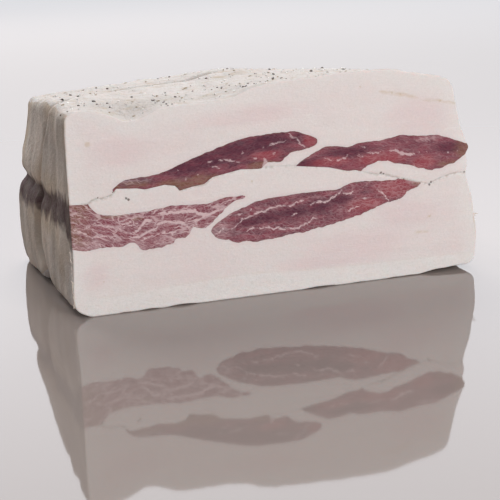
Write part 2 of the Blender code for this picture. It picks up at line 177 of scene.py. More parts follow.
# Streaks of fat in the lean at the front cut: half width, then the places (x, z) along it. A single
# place is a round spot.
STREAKS = {
    "lean_lower_left": (
        (0.35, (-104.5, 50.0), (-102.5, 49.0)), (0.35, (-101.0, 50.0), (-99.5, 49.5)),
        (0.4, (-96.0, 49.0), (-94.5, 47.5)), (0.4, (-101.0, 45.0), (-97.5, 45.0)),
        (0.5, (-97.5, 46.5), (-93.5, 45.0), (-87.0, 43.5), (-84.0, 42.0), (-80.0, 40.0),
         (-77.0, 39.5)),
        (0.5, (-106.0, 44.0), (-103.0, 43.0), (-101.5, 42.0), (-99.5, 40.5), (-97.0, 39.5),
         (-91.5, 39.5), (-88.5, 39.0)),
        (0.4, (-89.0, 38.5), (-87.0, 39.5), (-85.5, 39.0), (-85.0, 38.0), (-86.5, 37.5),
         (-89.0, 38.5)),
        (0.45, (-98.0, 37.5), (-96.5, 36.0), (-94.0, 35.5), (-93.0, 34.0)),
        (0.35, (-87.5, 46.5), (-83.5, 45.5), (-81.0, 46.5), (-78.0, 47.5)),
        (0.35, (-83.0, 44.5), (-80.5, 44.5), (-77.0, 45.5)), (0.35, (-84.0, 43.5), (-83.0, 42.0)),
        (0.4, (-82.0, 43.0), (-78.0, 43.5), (-75.0, 44.0)),
        (0.55, (-77.0, 39.5), (-75.0, 40.5), (-72.0, 43.5), (-70.5, 45.5)),
        (1.0, (-73.0, 43.5), (-70.5, 45.0), (-67.5, 44.5)),
        (0.6, (-79.5, 38.0), (-76.5, 37.0), (-74.0, 37.5), (-71.0, 39.0), (-65.5, 40.5),
         (-63.0, 42.0)),
        (0.45, (-74.0, 35.5), (-71.0, 36.5), (-68.0, 37.0)),
        (0.5, (-67.5, 48.0), (-65.5, 49.5), (-63.5, 51.0)),
        (0.9, (-64.5, 48.0), (-60.0, 47.5), (-52.5, 47.5), (-48.0, 47.5), (-45.5, 47.0),
         (-44.0, 45.5), (-39.5, 44.5), (-36.0, 45.5), (-30.5, 47.0)),
        (0.7, (-67.0, 42.0), (-62.0, 43.5), (-54.5, 42.5), (-52.0, 41.5), (-50.0, 40.0),
         (-47.0, 38.0)),
        (0.5, (-50.5, 42.0), (-46.5, 42.5), (-44.5, 42.5), (-42.0, 43.5), (-41.0, 44.5)),
        (0.4, (-46.0, 42.5), (-45.5, 40.5), (-45.0, 39.0)),
        (0.5, (-64.0, 38.5), (-62.0, 38.0), (-57.5, 37.5), (-54.5, 39.0)),
        (0.4, (-58.5, 37.0), (-57.5, 36.0)), (0.4, (-38.0, 47.5), (-33.5, 49.0))),
    "lean_lower_right": (
        (0.5, (-27.5, 36.0), (-24.5, 37.5), (-21.5, 40.5), (-17.0, 41.5), (-13.5, 43.0),
         (-10.5, 43.0), (-6.5, 44.5), (-1.0, 45.0), (5.0, 44.5), (7.0, 46.0), (11.0, 46.5)),
        (0.4, (-20.0, 34.0), (-17.5, 35.0), (-15.5, 35.5)),
        (0.5, (-13.0, 35.0), (-8.0, 35.0), (-5.0, 33.5), (-3.0, 34.5), (-0.5, 33.0), (5.5, 33.0),
         (8.5, 32.5), (10.0, 34.0), (13.0, 34.5), (16.5, 37.0), (18.5, 36.5)),
        (0.35, (4.5, 39.5), (7.0, 40.5)), (0.3, (-34.0, 39.0), (-32.0, 38.5)),
        (0.4, (-37.0, 34.0), (-34.0, 35.0), (-32.0, 36.5), (-30.5, 37.5)),
        (0.35, (-31.0, 41.5), (-28.5, 43.0), (-26.5, 44.0)), (0.3, (-25.5, 43.0), (-21.5, 43.0)),
        (0.5, (14.5, 43.5), (17.0, 45.0), (22.5, 44.5), (25.0, 45.5), (27.5, 46.5), (31.0, 49.0),
         (32.0, 50.0)),
        (0.4, (32.0, 48.0), (35.5, 47.5), (38.5, 48.5)), (0.35, (42.5, 44.5), (47.0, 44.0)),
        (0.4, (34.5, 38.5), (38.0, 40.0), (42.5, 40.5)),
        (0.4, (51.0, 48.5), (54.0, 46.5), (56.0, 44.0), (58.0, 41.5)),
        (0.4, (-17.0, 44.8)), (0.5, (36.0, 38.5))),
    "lean_upper_right": (
        (0.35, (22.0, 67.0), (24.0, 67.0), (26.5, 65.5)),
        (0.4, (29.5, 65.5), (34.0, 66.0), (35.5, 67.5)), (0.3, (40.5, 66.5), (42.0, 67.5)),
        (0.3, (42.0, 66.0), (44.5, 66.5)), (0.35, (46.0, 68.0), (51.5, 67.0), (53.5, 67.5)),
        (0.3, (42.0, 71.5), (45.0, 70.5)),
        (0.8, (58.5, 67.5), (62.5, 67.5), (64.0, 66.0), (67.5, 65.0), (73.0, 64.5)),
        (0.35, (75.5, 65.5)), (0.4, (79.5, 65.5)), (0.35, (82.5, 66.0)), (0.4, (72.5, 59.0)),
        (0.35, (92.0, 64.0)), (0.35, (97.0, 64.0)), (0.35, (87.5, 60.0))),
    "lean_upper_left": (
        (0.3, (-38.5, 70.5), (-36.0, 71.0)), (0.35, (-36.5, 68.0), (-34.5, 68.0), (-32.5, 67.0)),
        (0.3, (-33.5, 71.0), (-26.5, 70.5), (-22.0, 69.0)), (0.3, (-10.0, 75.0), (-9.0, 76.0)),
        (0.45, (-6.5, 76.0), (-3.0, 77.0), (2.0, 77.5)),
        (0.35, (3.5, 81.5), (5.0, 79.5), (8.5, 78.0), (9.5, 75.5), (12.5, 73.5)),
        (0.35, (-5.0, 71.5), (-3.0, 72.5)), (1.0, (-9.5, 70.0), (-8.5, 67.5), (-10.5, 65.0)),
        (0.5, (-53.5, 68.0)), (0.6, (-20.5, 73.5)), (0.9, (-14.0, 70.5)), (0.5, (-50.0, 63.5)),
        (0.4, (-43.5, 65.0))),
}
STREAK_DRIFT = 5.0  # how far the streaks wander on their way to the back cut
STREAK_WIGGLE = 0.7  # how unevenly they run
GRAIN_SLANT = 1.3  # how much the ends of the bundles slant

# Relief too fine for the solids, as layers of bumps: weight, width along X, Y and Z, seed
TOP_LUMPS = ((1.3, (24, 17, 24), 6.3), (1.0, (9, 7, 9), 3.1), (0.6, (3.4, 2.8, 3), 7.7),
             (0.35, (1.9, 1.7, 2), 1.3))
END_FOLDS = ((2.2, (30, 15, 52), 5.2), (0.6, (30, 6.5, 24), 9.4))
END_WRINKLES = ((0.2, (9, 3, 6), 2.6),)
CUT_DRAG = ((1.0, (34, 20, 5), 4.4), (0.5, (9, 20, 1.9), 8.8))
SEAM_LUMPS = ((2.5, (4, 20, 2.2), 12.1),)
FOOT_LIFTS = ((1.0, (11, 7, 11), 14.2),)
RAGGED_EDGE = ((1.0, (3.4, 2.6, 1), 0.5), (0.5, (1.3, 1.1, 1), 6.5))
STREAK_DRIFTS = ((9, 30, 5), 20.0)
STREAK_WIGGLES = ((2.1, 30, 1.6), 30.0)

FOLD_SLANT = 0.22  # how far the folds on the ends slant back for each mm up
FOLD_WIDTH = 1.3  # half the width of the sharp fold in the crease
LEDGE_BEHIND, LEDGE_WIDTH, LEDGE_SHARE = 3.5, 2.4, 0.8  # the back swell's edge over the fold
RIDGE_BEFORE, RIDGE_WIDTH, RIDGE_RISE = 6.5, 2.2, 1.6  # the ridge before the groove on the end
RIDGE_LEVEL, RIDGE_REACH = 84.0, 20.0
TOP_SQUEEZE = (1, 1, 0.3)  # lumps on the top change little with height
FOLD_SWAY = 0.5  # how much the lumps bend the fold
SKIN_REACH, DRAG_REACH = 3.0, 1.6  # how deep under the outside and under a cut relief still acts
SEAM_REACH, LUMP_REACH = 0.55, 4.0  # half widths of the open seam and of the lumps beside it
SEAM_LEAST = 0.25  # how open the seam is where nothing has stained it
TOO_LITTLE = 0.01  # relief below this share isn't worked out
# The share that has died out at the right end: of the crease, of the sharp fold, of the painted shade
# in the hollows, of the fold line's painted shade and stain, and of the painted highlight on the
# crest
CREASE_LOSS, FOLD_LOSS, HOLLOW_LOSS, LINE_LOSS, CREST_LOSS = 0.85, 0.6, 0.7, 0.55, 0.8
END_SHARE, END_BLEND = 0.6, 2.5  # how much of an end its edge is, and over how many mm it turns
CREASE_SHADE, VALLEY_SHADE = 0.8, 0.9  # how strong the painted shade is in the crease and the valley
# Where the crease's painted shade lies behind the crease and how wide it is, and how wide the painted
# shade in the left end's groove is
SHADE_BEHIND, SHADE_WIDTH, GROOVE_SHADE_WIDTH = 1.0, 3.0, 3.2
CREST_BEFORE, CREST_WIDTH = 7.0, 4.5  # the painted highlight on the crest before the crease
FAR, FAR_FROM_LEAN, FAR_FROM_RIM = 20.0, 9.0, 6.0  # distances are kept up to these
CUT_LAYER = 2.0  # how deep under a cut the halo of the lean is worked out
SKIN_DEPTH = 1.8  # how deep under the outside a face may lie and still be skin
CUT_SKIN = 0.35  # how near a knife cut the skin begins
CALM_TOP = 0.45  # how ragged a muscle's upper edge is beside its lower one
FACES_UP = 0.3  # an edge that faces up more than this is an upper edge
OUTLINE_STEP = 0.8  # how finely an outline is walked
BAR_PAST_CUT = 4.0  # how far the bars that cut out the muscles run past both cuts
ROOM_BESIDE = 1.4  # a grid keeps so many widths of a rounded edge free of its even places
SMOOTH_ANGLE = 50.0  # degrees
STREAK_TIP = 0.35  # how thick a streak still is at its tips
TINY = 1e-6  # a shorter length counts as none
WELD = 1e-4  # points closer than this become one
EDGE_STEPS = (0.25, 0.6, 1.0)  # where the cut edge's rounding has faces' sides

# Where each lean is dried brown, dark, fresh red or paler: (x, z, half length, half height)
TINTS = {
    "lean_lower_left": {
        "dry": ((-109, 53, 12, 9), (-109, 41, 11, 8), (-75, 46.5, 3, 1.2), (-88, 48.8, 9, 0.8)),
        "pale": ((-61, 34, 6, 3), (-98, 36, 7, 3), (-76, 33, 6, 3))},
    "lean_lower_right": {
        "deep": ((-18, 38.5, 9, 2.8), (-7, 40, 10, 3.2), (6, 41, 11, 3.8),
                 (19, 42.5, 11, 4), (31, 45, 8, 3)),
        "pale": ((-33, 36, 6, 5), (73, 51, 5, 2.5)), "fresh": ((62, 48, 13, 6), (45, 41, 12, 4)),
        "dry": ((75.5, 50.5, 4.5, 3),)},
    "lean_upper_right": {
        "deep": ((92, 66.5, 9, 3.5), (14, 65, 10, 3), (36, 69, 14, 3)), "pale": ((80, 72, 8, 1.6),),
        "fresh": ((54, 64, 16, 4), (26, 65, 12, 2.5), (78, 60, 8, 4)),
        "dry": ((104, 65, 8, 6), (92, 58, 6, 2), (25, 58, 25, 1.6))},
    "lean_upper_left": {
        "deep": ((-50, 69, 14, 4), (-38, 72, 13, 4), (-25, 75, 13, 5), (-8, 78, 14, 5),
                 (-75, 65, 8, 2)),
        "dry": ((-77, 63, 9, 1.8), (-56, 60.5, 10, 3.6), (-42, 61.5, 10, 3.8), (-10, 66.5, 9, 2)),
        "pale": ((-76, 65, 9, 1.6),),
        "fresh": ((15.5, 77, 4.5, 4), (-8, 71, 9, 2.5))},
}

# How each lean is grained: bundles (length, height) and how clear the fat between them is, the same
# for the finer strands in the bundles, how dark the whole is, and how white its streaks are
LOOKS = {
    "lean_lower_left": ((8.0, 2.3), 0.5, (1.8, 0.9), 0.24, 0.35, 0.72),
    "lean_lower_right": ((5.0, 2.6), 0.14, (1.7, 1.0), 0.13, 0.8, 0.72),
    "lean_upper_right": ((9.0, 2.0), 0.1, (2.6, 0.8), 0.09, 0.6, 0.6),
    "lean_upper_left": ((10.0, 2.2), 0.04, (3.0, 0.9), 0.08, 1.0, 0.55),
}

# Upper edge of the whiter, coarser band along the foot of the front cut: (x, z)
BAND = ((-108, 13.0), (-95, 9.5), (-60, 10.8), (-18, 12.1), (0, 10.9), (36, 9.7), (108, 8.8))

# Small marks on the front cut's fat: (x, z, radius), black ones that paint the shade in small
# crevices along the seam, and tan ones. Each fades out between two shares of its radius.
MARK_EDGE = (1.25, 0.6)
CREVICE_SHADE_MARKS = ((53.8, 56.6, 0.7), (55.2, 56.0, 0.6), (81.2, 47.9, 0.7), (82.2, 49.0, 0.6),
               (101.5, 52.5, 0.6), (-79.8, 57.0, 0.6), (-78.7, 56.2, 0.6), (-93.5, 58.6, 0.4),
               (-90.8, 58.5, 0.35), (66.5, 52.0, 0.5), (-54.6, 60.4, 0.6), (-86.0, 60.5, 0.4))
TAN_MARKS = ((-97.0, 84.5, 1.3), (42.5, 101.5, 0.5), (-93.0, 17.0, 0.4), (81.5, 31.0, 0.5),
             (-16.0, 59.0, 0.6), (60.0, 97.0, 0.6), (64.5, 96.0, 0.5), (87.0, 91.0, 0.6))
FAT_STREAKS = ((0.75, (53, 98.3), (64.5, 96), (74, 93.8)), (0.5, (77, 92.3), (87, 91), (96, 89)),
               (0.45, (73.0, 23.2), (80.5, 23)), (0.5, (80.5, 30.5), (82, 31.8)))
SEAM_STAINS = ((-91, 58, 10, 7), (-47, 60, 14, 7), (56, 55, 9, 7), (75, 50, 8, 7), (94, 51, 14, 7))
PINK_ZONES = ((41, 20, 30, 9), (75, 84, 22, 10), (25, 14, 30, 5), (-81, 80, 16, 9),
              (-98, 20, 9, 7), (-20, 92, 30, 6), (70, 34, 20, 8))


def linear(code):
    """An sRGB hex colour as linear red, green and blue."""
    values = [int(code[k:k + 2], 16) / 255 for k in (0, 2, 4)]
    return tuple(v / 12.92 if v <= 0.04045 else ((v + 0.055) / 1.055) ** 2.4 for v in values)


def colour(name, code, description):
    return FloatVectorProperty(name=name, description=description, subtype="COLOR", size=3,
                               min=0.0, max=1.0, default=linear(code))


def length(name, default, description):
    """A size in millimetres."""
    return FloatProperty(name=name + " (mm)", description=description, default=default, min=0.0)


class LardoSizes(bpy.types.PropertyGroup):
    """Sizes that a user would change."""
    cell: length("Fat grid", 1.15, "Width of the faces on the fat slabs")
    lean_cell: length("Lean grid", 0.62, "Width of the faces on the cut lean")
    cut_edge: length("Cut edge", 0.8, "Rounding where a knife cut meets the cured outside")
    top_relief: length("Top relief", 0.55, "Height of the lumps on the cured top")
    end_relief: length("End relief", 0.8, "Height of the folds on the ends")
    foot_relief: length("Foot relief", 1.0, "How far the underside lifts in places")
    cut_relief: length("Cut relief", 0.14, "Height of the drag marks on the knife cuts")
    fold: length("Fold", 1.3, "How deep the sharp fold in the top's crease is")
    seam_open: length("Open seam", 0.4, "How far the seam gapes at the cuts")
    ragged: length("Ragged edge", 0.75, "How far the lean's outline wanders")


class LardoColours(bpy.types.PropertyGroup):
    """Colours that a user would change."""
    fat: colour("Cut fat", "D9D0CD", "Knife-cut cured fat")
    fat_pink: colour("Pink fat", "D5C0C0", "Fat tinted by the lean under it")
    fat_rind: colour("Rind fat", "DBD5D2", "Whiter, coarser fat along the outer side")
    skin: colour("Cured skin", "DBD4D0", "Air-dried fat on the top")
    # Grey skin is also the painted shade in the crease and the valley on the top
    skin_grey: colour("Grey skin", "A9A29B", "Damp grey staining in the hollows")
    skin_tan: colour("Tan skin", "BCA586", "Tan patches of the spice cure")
    # Olive is also the painted shade, with the cure's stain, along the fold in the top's crease
    olive: colour("Olive stain", "8E7D68", "Stain of the cure along the seam")
    end_skin: colour("End skin", "D8CABD", "Dried fat on the ends")
    # Dark skin is also painted shade in the top's hollows and in the left end's groove
    dark_skin: colour("Dark skin", "463836", "Dried lean on the ends")
    lean: colour("Lean", "7E404C", "Cured lean pork")
    lean_deep: colour("Deep lean", "4B2434", "Dense dark lean")
    lean_fresh: colour("Red lean", "923E45", "Lean that kept its bright red")
    lean_brown: colour("Brown lean", "785643", "Lean that has dried in the air")
    # Marbling also colours the pale specks that paint the lean's sparkling sheen
    marbling: colour("Marbling", "D8C0C0", "Fat between the fibre bundles")
    # Pepper's black also paints the shade in the small crevices along the seam
    pepper: colour("Pepper", "574C43", "Cracked black pepper")
    herb: colour("Herb", "9A8A70", "Dried rosemary and bay")
    # Salt white also paints the highlight on the crest before the crease
    salt: colour("Salt", "F2EFEA", "Curing salt")
    floor: colour("Floor", "948983", "Polished pale stone")


def curve_through(points, place):
    """Height of a smooth curve through the points at each place, level past its two ends."""
    xs, ys = np.array(points, float).T
    last = len(xs) - 1
    low, high = np.maximum(np.arange(last + 1) - 1, 0), np.minimum(np.arange(last + 1) + 1, last)
    slope = (ys[high] - ys[low]) / (xs[high] - xs[low])
    i = np.clip(np.searchsorted(xs, place) - 1, 0, last - 1)
    span = xs[i + 1] - xs[i]
    t = np.clip((place - xs[i]) / span, 0, 1)
    return ((2 * t ** 3 - 3 * t ** 2 + 1) * ys[i] + (t ** 3 - 2 * t ** 2 + t) * span * slope[i]
            + (3 * t ** 2 - 2 * t ** 3) * ys[i + 1] + (t ** 3 - t ** 2) * span * slope[i + 1])


def bell(distance, width):
    return np.exp(-(distance / width) ** 2)


def ease(value):
    value = np.clip(value, 0.0, 1.0)
    return value * value * (3 - 2 * value)


def depth_share(y):
    """0 at the front cut, 1 at the back cut."""
    return (y - FRONT_Y) / DEPTH


def top_height(x, y):
    """Height of the cured top: two lengthwise swells with the crease between them."""
    share = depth_share(y)
    from_front, from_back = y - FRONT_Y, -FRONT_Y - y
    height = (1 - share) * curve_through(FRONT_TOP, x) + share * curve_through(BACK_TOP, x)
    height -= DIP_DEPTH * bell(x - DIP_X, DIP_LENGTH) * bell(from_front, DIP_REACH)
    off_crease = y - curve_through(CREASE_TOP, x)
    fade = crease_fade(x, CREASE_LOSS)
    height -= fade * CREASE_DEPTH * bell(off_crease, CREASE_WIDTH)
    inside = (1 - bell(from_front, SWELL_MARGIN)) * (1 - bell(from_back, SWELL_MARGIN))
    for distance, half_width, rise in SWELLS:
        height += fade * inside * rise * bell(off_crease - distance, half_width)
    ripple = sum(np.sin(x / along + y / across) for along, across in RIPPLES)
    return height + RIPPLE * ripple * inside


def left_end(y, z):
    """Place of the cured left end: two upright lobes with the groove between them."""
    share = depth_share(y)
    x = ((1 - ease(share)) * curve_through(LEFT_FRONT, z)
         + ease(share) * curve_through(LEFT_BACK, z))
    groove = bell(y - curve_through(CREASE_END, z), GROOVE_WIDTH)
    swell = LOBE_SWELL * np.sin(math.pi * share) * bell(z - HEIGHT / 4, LOBE_HEIGHT)
    return x + GROOVE_DEPTH * groove - swell * (1 - groove)


def right_end(y, z):
    """Place of the right end, which leans inwards and draws in towards the back."""
    wave = RIGHT_WAVE * np.sin(y / RIGHT_WAVE_RUN[0] + z / RIGHT_WAVE_RUN[1])
    return curve_through(RIGHT_FRONT, z) - depth_share(y) * (RIGHT_BACK_PULL + wave)


def underside(x, y):
    """Flat where the block rests, lifted a little at the right front and under the groove."""
    lift = RIGHT_LIFT * ease((x - LIFT_FROM) / LIFT_RUN) * (1 - ease((y - FRONT_Y) / LIFT_DEPTH))
    at_end = bell(x + LENGTH / 2, FOOT_LENGTH)
    off_groove = y - CREASE_END[0][1] - FOOT_BEHIND
    return lift + GROOVE_FOOT * at_end * bell(off_groove, 2 * GROOVE_WIDTH)


def bumps(points, size, seed):
    """Smooth noise from -1 to 1 at each point; size is a bump's width along X, Y and Z."""
    return np.array([noise.noise(p) for p in (points / np.array(size) + seed).tolist()])


def crease_fade(x, loss):
    """1 where the crease on the top is whole, less by the loss where it has died out."""
    starts, ends = CREASE_FADE
    return 1 - loss * ease((x - starts) / (ends - starts))


def layered(points, layers):
    """Bumps of several sizes added up."""
    return sum(weight * bumps(points, size, seed) for weight, size, seed in layers)


def relief(points, from_outer, from_end, from_cut, from_seam, side, sizes):
    """Adds the fine surface: lumps on the top, folds on the ends, drag marks on the cuts."""
    near_outer, near_end = bell(from_outer, SKIN_REACH), bell(from_end, SKIN_REACH)
    near_cut = bell(from_cut, DRAG_REACH)
    outside, ends, cuts = (near > TOO_LITTLE for near in (near_outer, near_end, near_cut))
    top = outside & (side > 0)

    spots = points[top] * TOP_SQUEEZE
    lumps = layered(spots, TOP_LUMPS)
    off_crease = spots[:, 1] - curve_through(CREASE_TOP, spots[:, 0])
    fold = bell(off_crease - FOLD_SWAY * lumps, FOLD_WIDTH)
    ledge = LEDGE_SHARE * bell(off_crease - LEDGE_BEHIND, LEDGE_WIDTH)
    lumps = (sizes.top_relief * lumps
             + sizes.fold * (ledge - fold) * crease_fade(spots[:, 0], FOLD_LOSS))
    points[top, 2] += lumps * near_outer[top]

    if side < 0:
        lift = np.maximum(layered(points[outside], FOOT_LIFTS), 0) * sizes.foot_relief
        points[outside, 2] += lift * near_outer[outside]

    spots = points[ends]
    slanted = spots + np.outer(spots[:, 2] - SEAM_LEVEL, (0, FOLD_SLANT, 0))
    ribs = layered(slanted, END_FOLDS) + layered(spots, END_WRINKLES)
    off_groove = spots[:, 1] - curve_through(CREASE_END, spots[:, 2])
    ridge = bell(off_groove + RIDGE_BEFORE, RIDGE_WIDTH)
    ribs += RIDGE_RISE * ridge * bell(spots[:, 2] - RIDGE_LEVEL, RIDGE_REACH)
    outward = np.where(spots[:, 0] < 0, -1.0, 1.0)
    points[ends, 0] += outward * sizes.end_relief * ribs * near_end[ends]

    spots = points[cuts]
    marked = blobs(spots[:, ::2], SEAM_STAINS)
    lumpy = layered(spots, SEAM_LUMPS) * bell(from_seam[cuts], LUMP_REACH)
    open_seam = bell(from_seam[cuts], SEAM_REACH) * np.maximum(marked, SEAM_LEAST)
    push = (sizes.cut_relief * (layered(spots, CUT_DRAG) + lumpy * marked)
            - sizes.seam_open * open_seam)
    points[cuts, 1] += np.sign(spots[:, 1]) * push * near_cut[cuts]
    return points


def slab_points(plain, side, sizes):
    """Moves points of a plain slab (x, y, share from the seam to its outer side) to their place."""
    x, y, share = plain.T
    outer = HEIGHT if side > 0 else 0.0
    z = SEAM_LEVEL + share * (outer - SEAM_LEVEL)
    depth = depth_share(y)
    if side > 0:
        radius = np.where(x > 0, CORNER_TOP[1], CORNER_TOP[0])
    else:
        front, back = CORNER_BOTTOM_LEFT
        radius = np.where(x > 0, CORNER_BOTTOM_RIGHT, front + (back - front) * depth)

    # Corners of the section: a square corner is pulled in to its arc
    end = np.sign(x)
    past_x = np.maximum(np.abs(x) - (LENGTH / 2 - radius), 0)
    past_z = np.maximum(radius - side * (outer - z), 0)
    reach = np.maximum(np.hypot(past_x, past_z), 1e-9)
    pull = np.where(reach > TINY, np.maximum(past_x, past_z) / reach, 1) - 1
    x = x + end * past_x * pull
    z = z + side * past_z * pull

    # Rounding where the outside meets the knife cuts
    from_end, from_outer = LENGTH / 2 - np.abs(x), side * (outer - z)
    corner_x, corner_z = np.maximum(radius - from_end, 0), np.maximum(radius - from_outer, 0)
    in_corner = (corner_x > 0) & (corner_z > 0)
    corner = np.maximum(np.hypot(corner_x, corner_z), 1e-9)
    inset = np.where(in_corner, radius - corner, np.minimum(from_end, from_outer))
    inward_x = np.where(in_corner, corner_x / corner, from_end < from_outer)
    inward_z = np.where(in_corner, corner_z / corner, from_end >= from_outer)
    from_cut = DEPTH / 2 - np.abs(y)
    edge = sizes.cut_edge
    past_side, past_cut = np.maximum(edge - inset, 0), np.maximum(edge - from_cut, 0)
    reach = np.maximum(np.hypot(past_side, past_cut), 1e-9)
    pull = 1 - np.where(reach > TINY, np.maximum(past_side, past_cut) / reach, 1)
    x = x - end * inward_x * past_side * pull
    z = z - side * inward_z * past_side * pull
    y = y - np.sign(y) * past_cut * pull

    # The real outside, seam and ends
    across, up = x / LENGTH + 0.5, z / HEIGHT

    def between_ends(height):
        return (1 - across) * left_end(y, height) + across * right_end(y, height)

    rough_x = between_ends(z)
    low, high = underside(rough_x, y), top_height(rough_x, y)
    seam_share = SEAM_LEVEL / HEIGHT
    seam = np.interp(rough_x, *np.array(SEAM).T) - DEPTH_DROP * depth_share(y)
    share = (z - SEAM_LEVEL) / (outer - SEAM_LEVEL)
    height = (1 - up) * low + up * high
    height += (1 - share) * (seam - (1 - seam_share) * low - seam_share * high)
    points = np.column_stack((between_ends(height), y, height))
    from_seam = share * abs(outer - SEAM_LEVEL)
    return relief(points, from_outer, from_end, from_cut, from_seam, side, sizes)


def deselect():
    if bpy.context.object and bpy.context.object.mode != "OBJECT":
        bpy.ops.object.mode_set(mode="OBJECT")
    bpy.ops.object.select_all(action="DESELECT")


def make_active(piece):
    deselect()
    piece.select_set(True)
    bpy.context.view_layer.objects.active = piece


def two_factors(count):
    """Two whole numbers whose product is at least count."""
    first = max(int(math.sqrt(count)), 1)
    return first, math.ceil(count / first)


def strips(places):
    """The places with the last gap split until their strips are a product of two factors."""
    first, second = two_factors(len(places) - 1)
    lacking = first * second - (len(places) - 1)
    low, high = places[-2], places[-1]
    more = [low + (high - low) * k / (lacking + 1) for k in range(1, lacking + 1)]
    return np.array(list(places[:-1]) + more + [high])


def read_all(items, what, width=3, kind=np.float32):
    """What all points, edges or faces of a mesh hold, one row for each."""
    rows = np.empty(len(items) * width, kind)
    items.foreach_get(what, rows)
    return rows.reshape(-1, width)


def in_edit_mode(*steps):
    """Does each step (operator, its settings) on the active piece in edit mode."""
    bpy.ops.object.mode_set(mode="EDIT")
    for operator, settings in steps:
        operator(**settings)
    bpy.ops.object.mode_set(mode="OBJECT")


def sliced_box(name, places):
    """A cube whose sides are subdivided at the given places along X, Y and Z."""
    deselect()
    bpy.ops.mesh.primitive_cube_add(size=1.0)
    box = bpy.context.object
    box.name = box.data.name = name
    places = [strips(p) for p in places]
    bpy.context.tool_settings.mesh_select_mode = (False, True, False)
    for axis, spots in enumerate(places):
        for factor in two_factors(len(spots) - 1):
            if factor < 2:
                continue
            mesh = box.data
            ends = read_all(mesh.edges, "vertices", 2, np.int32)
            run = np.diff(read_all(mesh.vertices, "co")[ends], axis=1)[:, 0]
            mesh.vertices.foreach_set("select", np.zeros(len(mesh.vertices), bool))
            mesh.polygons.foreach_set("select", np.zeros(len(mesh.polygons), bool))
            mesh.edges.foreach_set("select", np.abs(run[:, axis]) > TINY)
            in_edit_mode((bpy.ops.mesh.subdivide, {"number_cuts": factor - 1}))
    co = read_all(box.data.vertices, "co").astype(float)
    plain = np.empty_like(co)
    for axis, spots in enumerate(places):
        index = np.rint((co[:, axis] + 0.5) * (len(spots) - 1)).astype(int)
        plain[:, axis] = spots[index]
    return box, plain


def set_points(piece, points):
    """Puts the piece's points, worked out in millimetres, in the frame."""
    placed = (points - (MIDDLE_X, 0, 0)) * MM
    piece.data.vertices.foreach_set("co", placed.astype(np.float32).ravel())
    piece.data.update()


def get_points(piece):
    """The piece's points in millimetres, on the outlines' scale."""
    return read_all(piece.data.vertices, "co").astype(float) / MM + (MIDDLE_X, 0, 0)


def even(low, high, cell, closer=()):
    """Places from low to high about a cell apart, with closer ones beside each end."""
    steps = max(round((high - low) / cell), 1)
    room = ROOM_BESIDE * max(closer, default=0)
    inner = [p for p in np.linspace(low, high, steps + 1)[1:-1]
             if p - low > room and high - p > room]
    beside = [low + c for c in closer] + [high - c for c in closer]
    return sorted([low, high] + beside + inner)


def ragged(outline, wander, seed):
    """The outline walked in short steps and pushed in or out a little, as cut fibres leave it."""
    corners = np.array(outline + outline[:1], float)
    along = np.r_[0, np.cumsum(np.linalg.norm(np.diff(corners, axis=0), axis=1))]
    count = int(along[-1] / OUTLINE_STEP)
    walked = np.linspace(0, along[-1], count, endpoint=False)
    points = np.column_stack([np.interp(walked, along, corners[:, k]) for k in (0, 1)])
    points = sum(np.roll(points, k, axis=0) for k in (-2, -1, 0, 1, 2)) / 5
    run = np.roll(points, -1, axis=0) - np.roll(points, 1, axis=0)
    out = np.column_stack((-run[:, 1], run[:, 0]))
    out /= np.linalg.norm(out, axis=1)[:, None]
    spots = np.column_stack((points, np.full(count, seed)))
    push = layered(spots, RAGGED_EDGE) * np.where(out[:, 1] > FACES_UP, CALM_TOP, 1.0)
    return points + out * (wander * push)[:, None]


def carried(points, shape):
    """Front-cut places carried back through the block as the muscle runs."""
    share = depth_share(points[:, 1])
    middle = np.mean(shape["outline"], axis=0)
    moved = points.copy()
    for axis, k in ((0, 0), (2, 1)):
        grow = 1 + (shape["size"][k] - 1) * share
        moved[:, axis] = middle[k] + (points[:, axis] - middle[k]) * grow + shape["shift"][k] * share
    moved[:, 2] -= DEPTH_DROP * share
    return moved


def carried_back(points, shape):
    """Where points of the muscle would lie on the front cut: the other way round."""
    share = depth_share(points[:, 1])
    middle = np.mean(shape["outline"], axis=0)
    moved = points.copy()
    moved[:, 2] += DEPTH_DROP * share
    for axis, k in ((0, 0), (2, 1)):
        grow = 1 + (shape["size"][k] - 1) * share
        moved[:, axis] = middle[k] + (moved[:, axis] - middle[k] - shape["shift"][k] * share) / grow
    return moved


def prism(name, outline, shape):
    """The outline as a bar that runs past both cuts, in the way the muscle runs."""
    deselect()
    drawn = bpy.data.curves.new(name, "CURVE")
    drawn.dimensions = "2D"
    drawn.fill_mode = "BOTH"
    drawn.extrude = DEPTH / 2 + BAR_PAST_CUT
    spline = drawn.splines.new("POLY")
    spline.points.add(len(outline) - 1)
    for spot, (x, z) in zip(spline.points, outline):
        spot.co = (x, z, 0, 1)
    spline.use_cyclic_u = True
    bar = bpy.data.objects.new(name, drawn)
    bpy.context.scene.collection.objects.link(bar)
    make_active(bar)
    bpy.ops.object.convert(target="MESH")
    bar = bpy.context.object
    in_edit_mode((bpy.ops.mesh.select_all, {"action": "SELECT"}),
                 (bpy.ops.mesh.remove_doubles, {"threshold": WELD}))
    bar.data.transform(Matrix.Rotation(math.pi / 2, 4, "X"))
    set_points(bar, carried(read_all(bar.data.vertices, "co").astype(float), shape))
    in_edit_mode((bpy.ops.mesh.normals_make_consistent, {"inside": False}))
    return bar


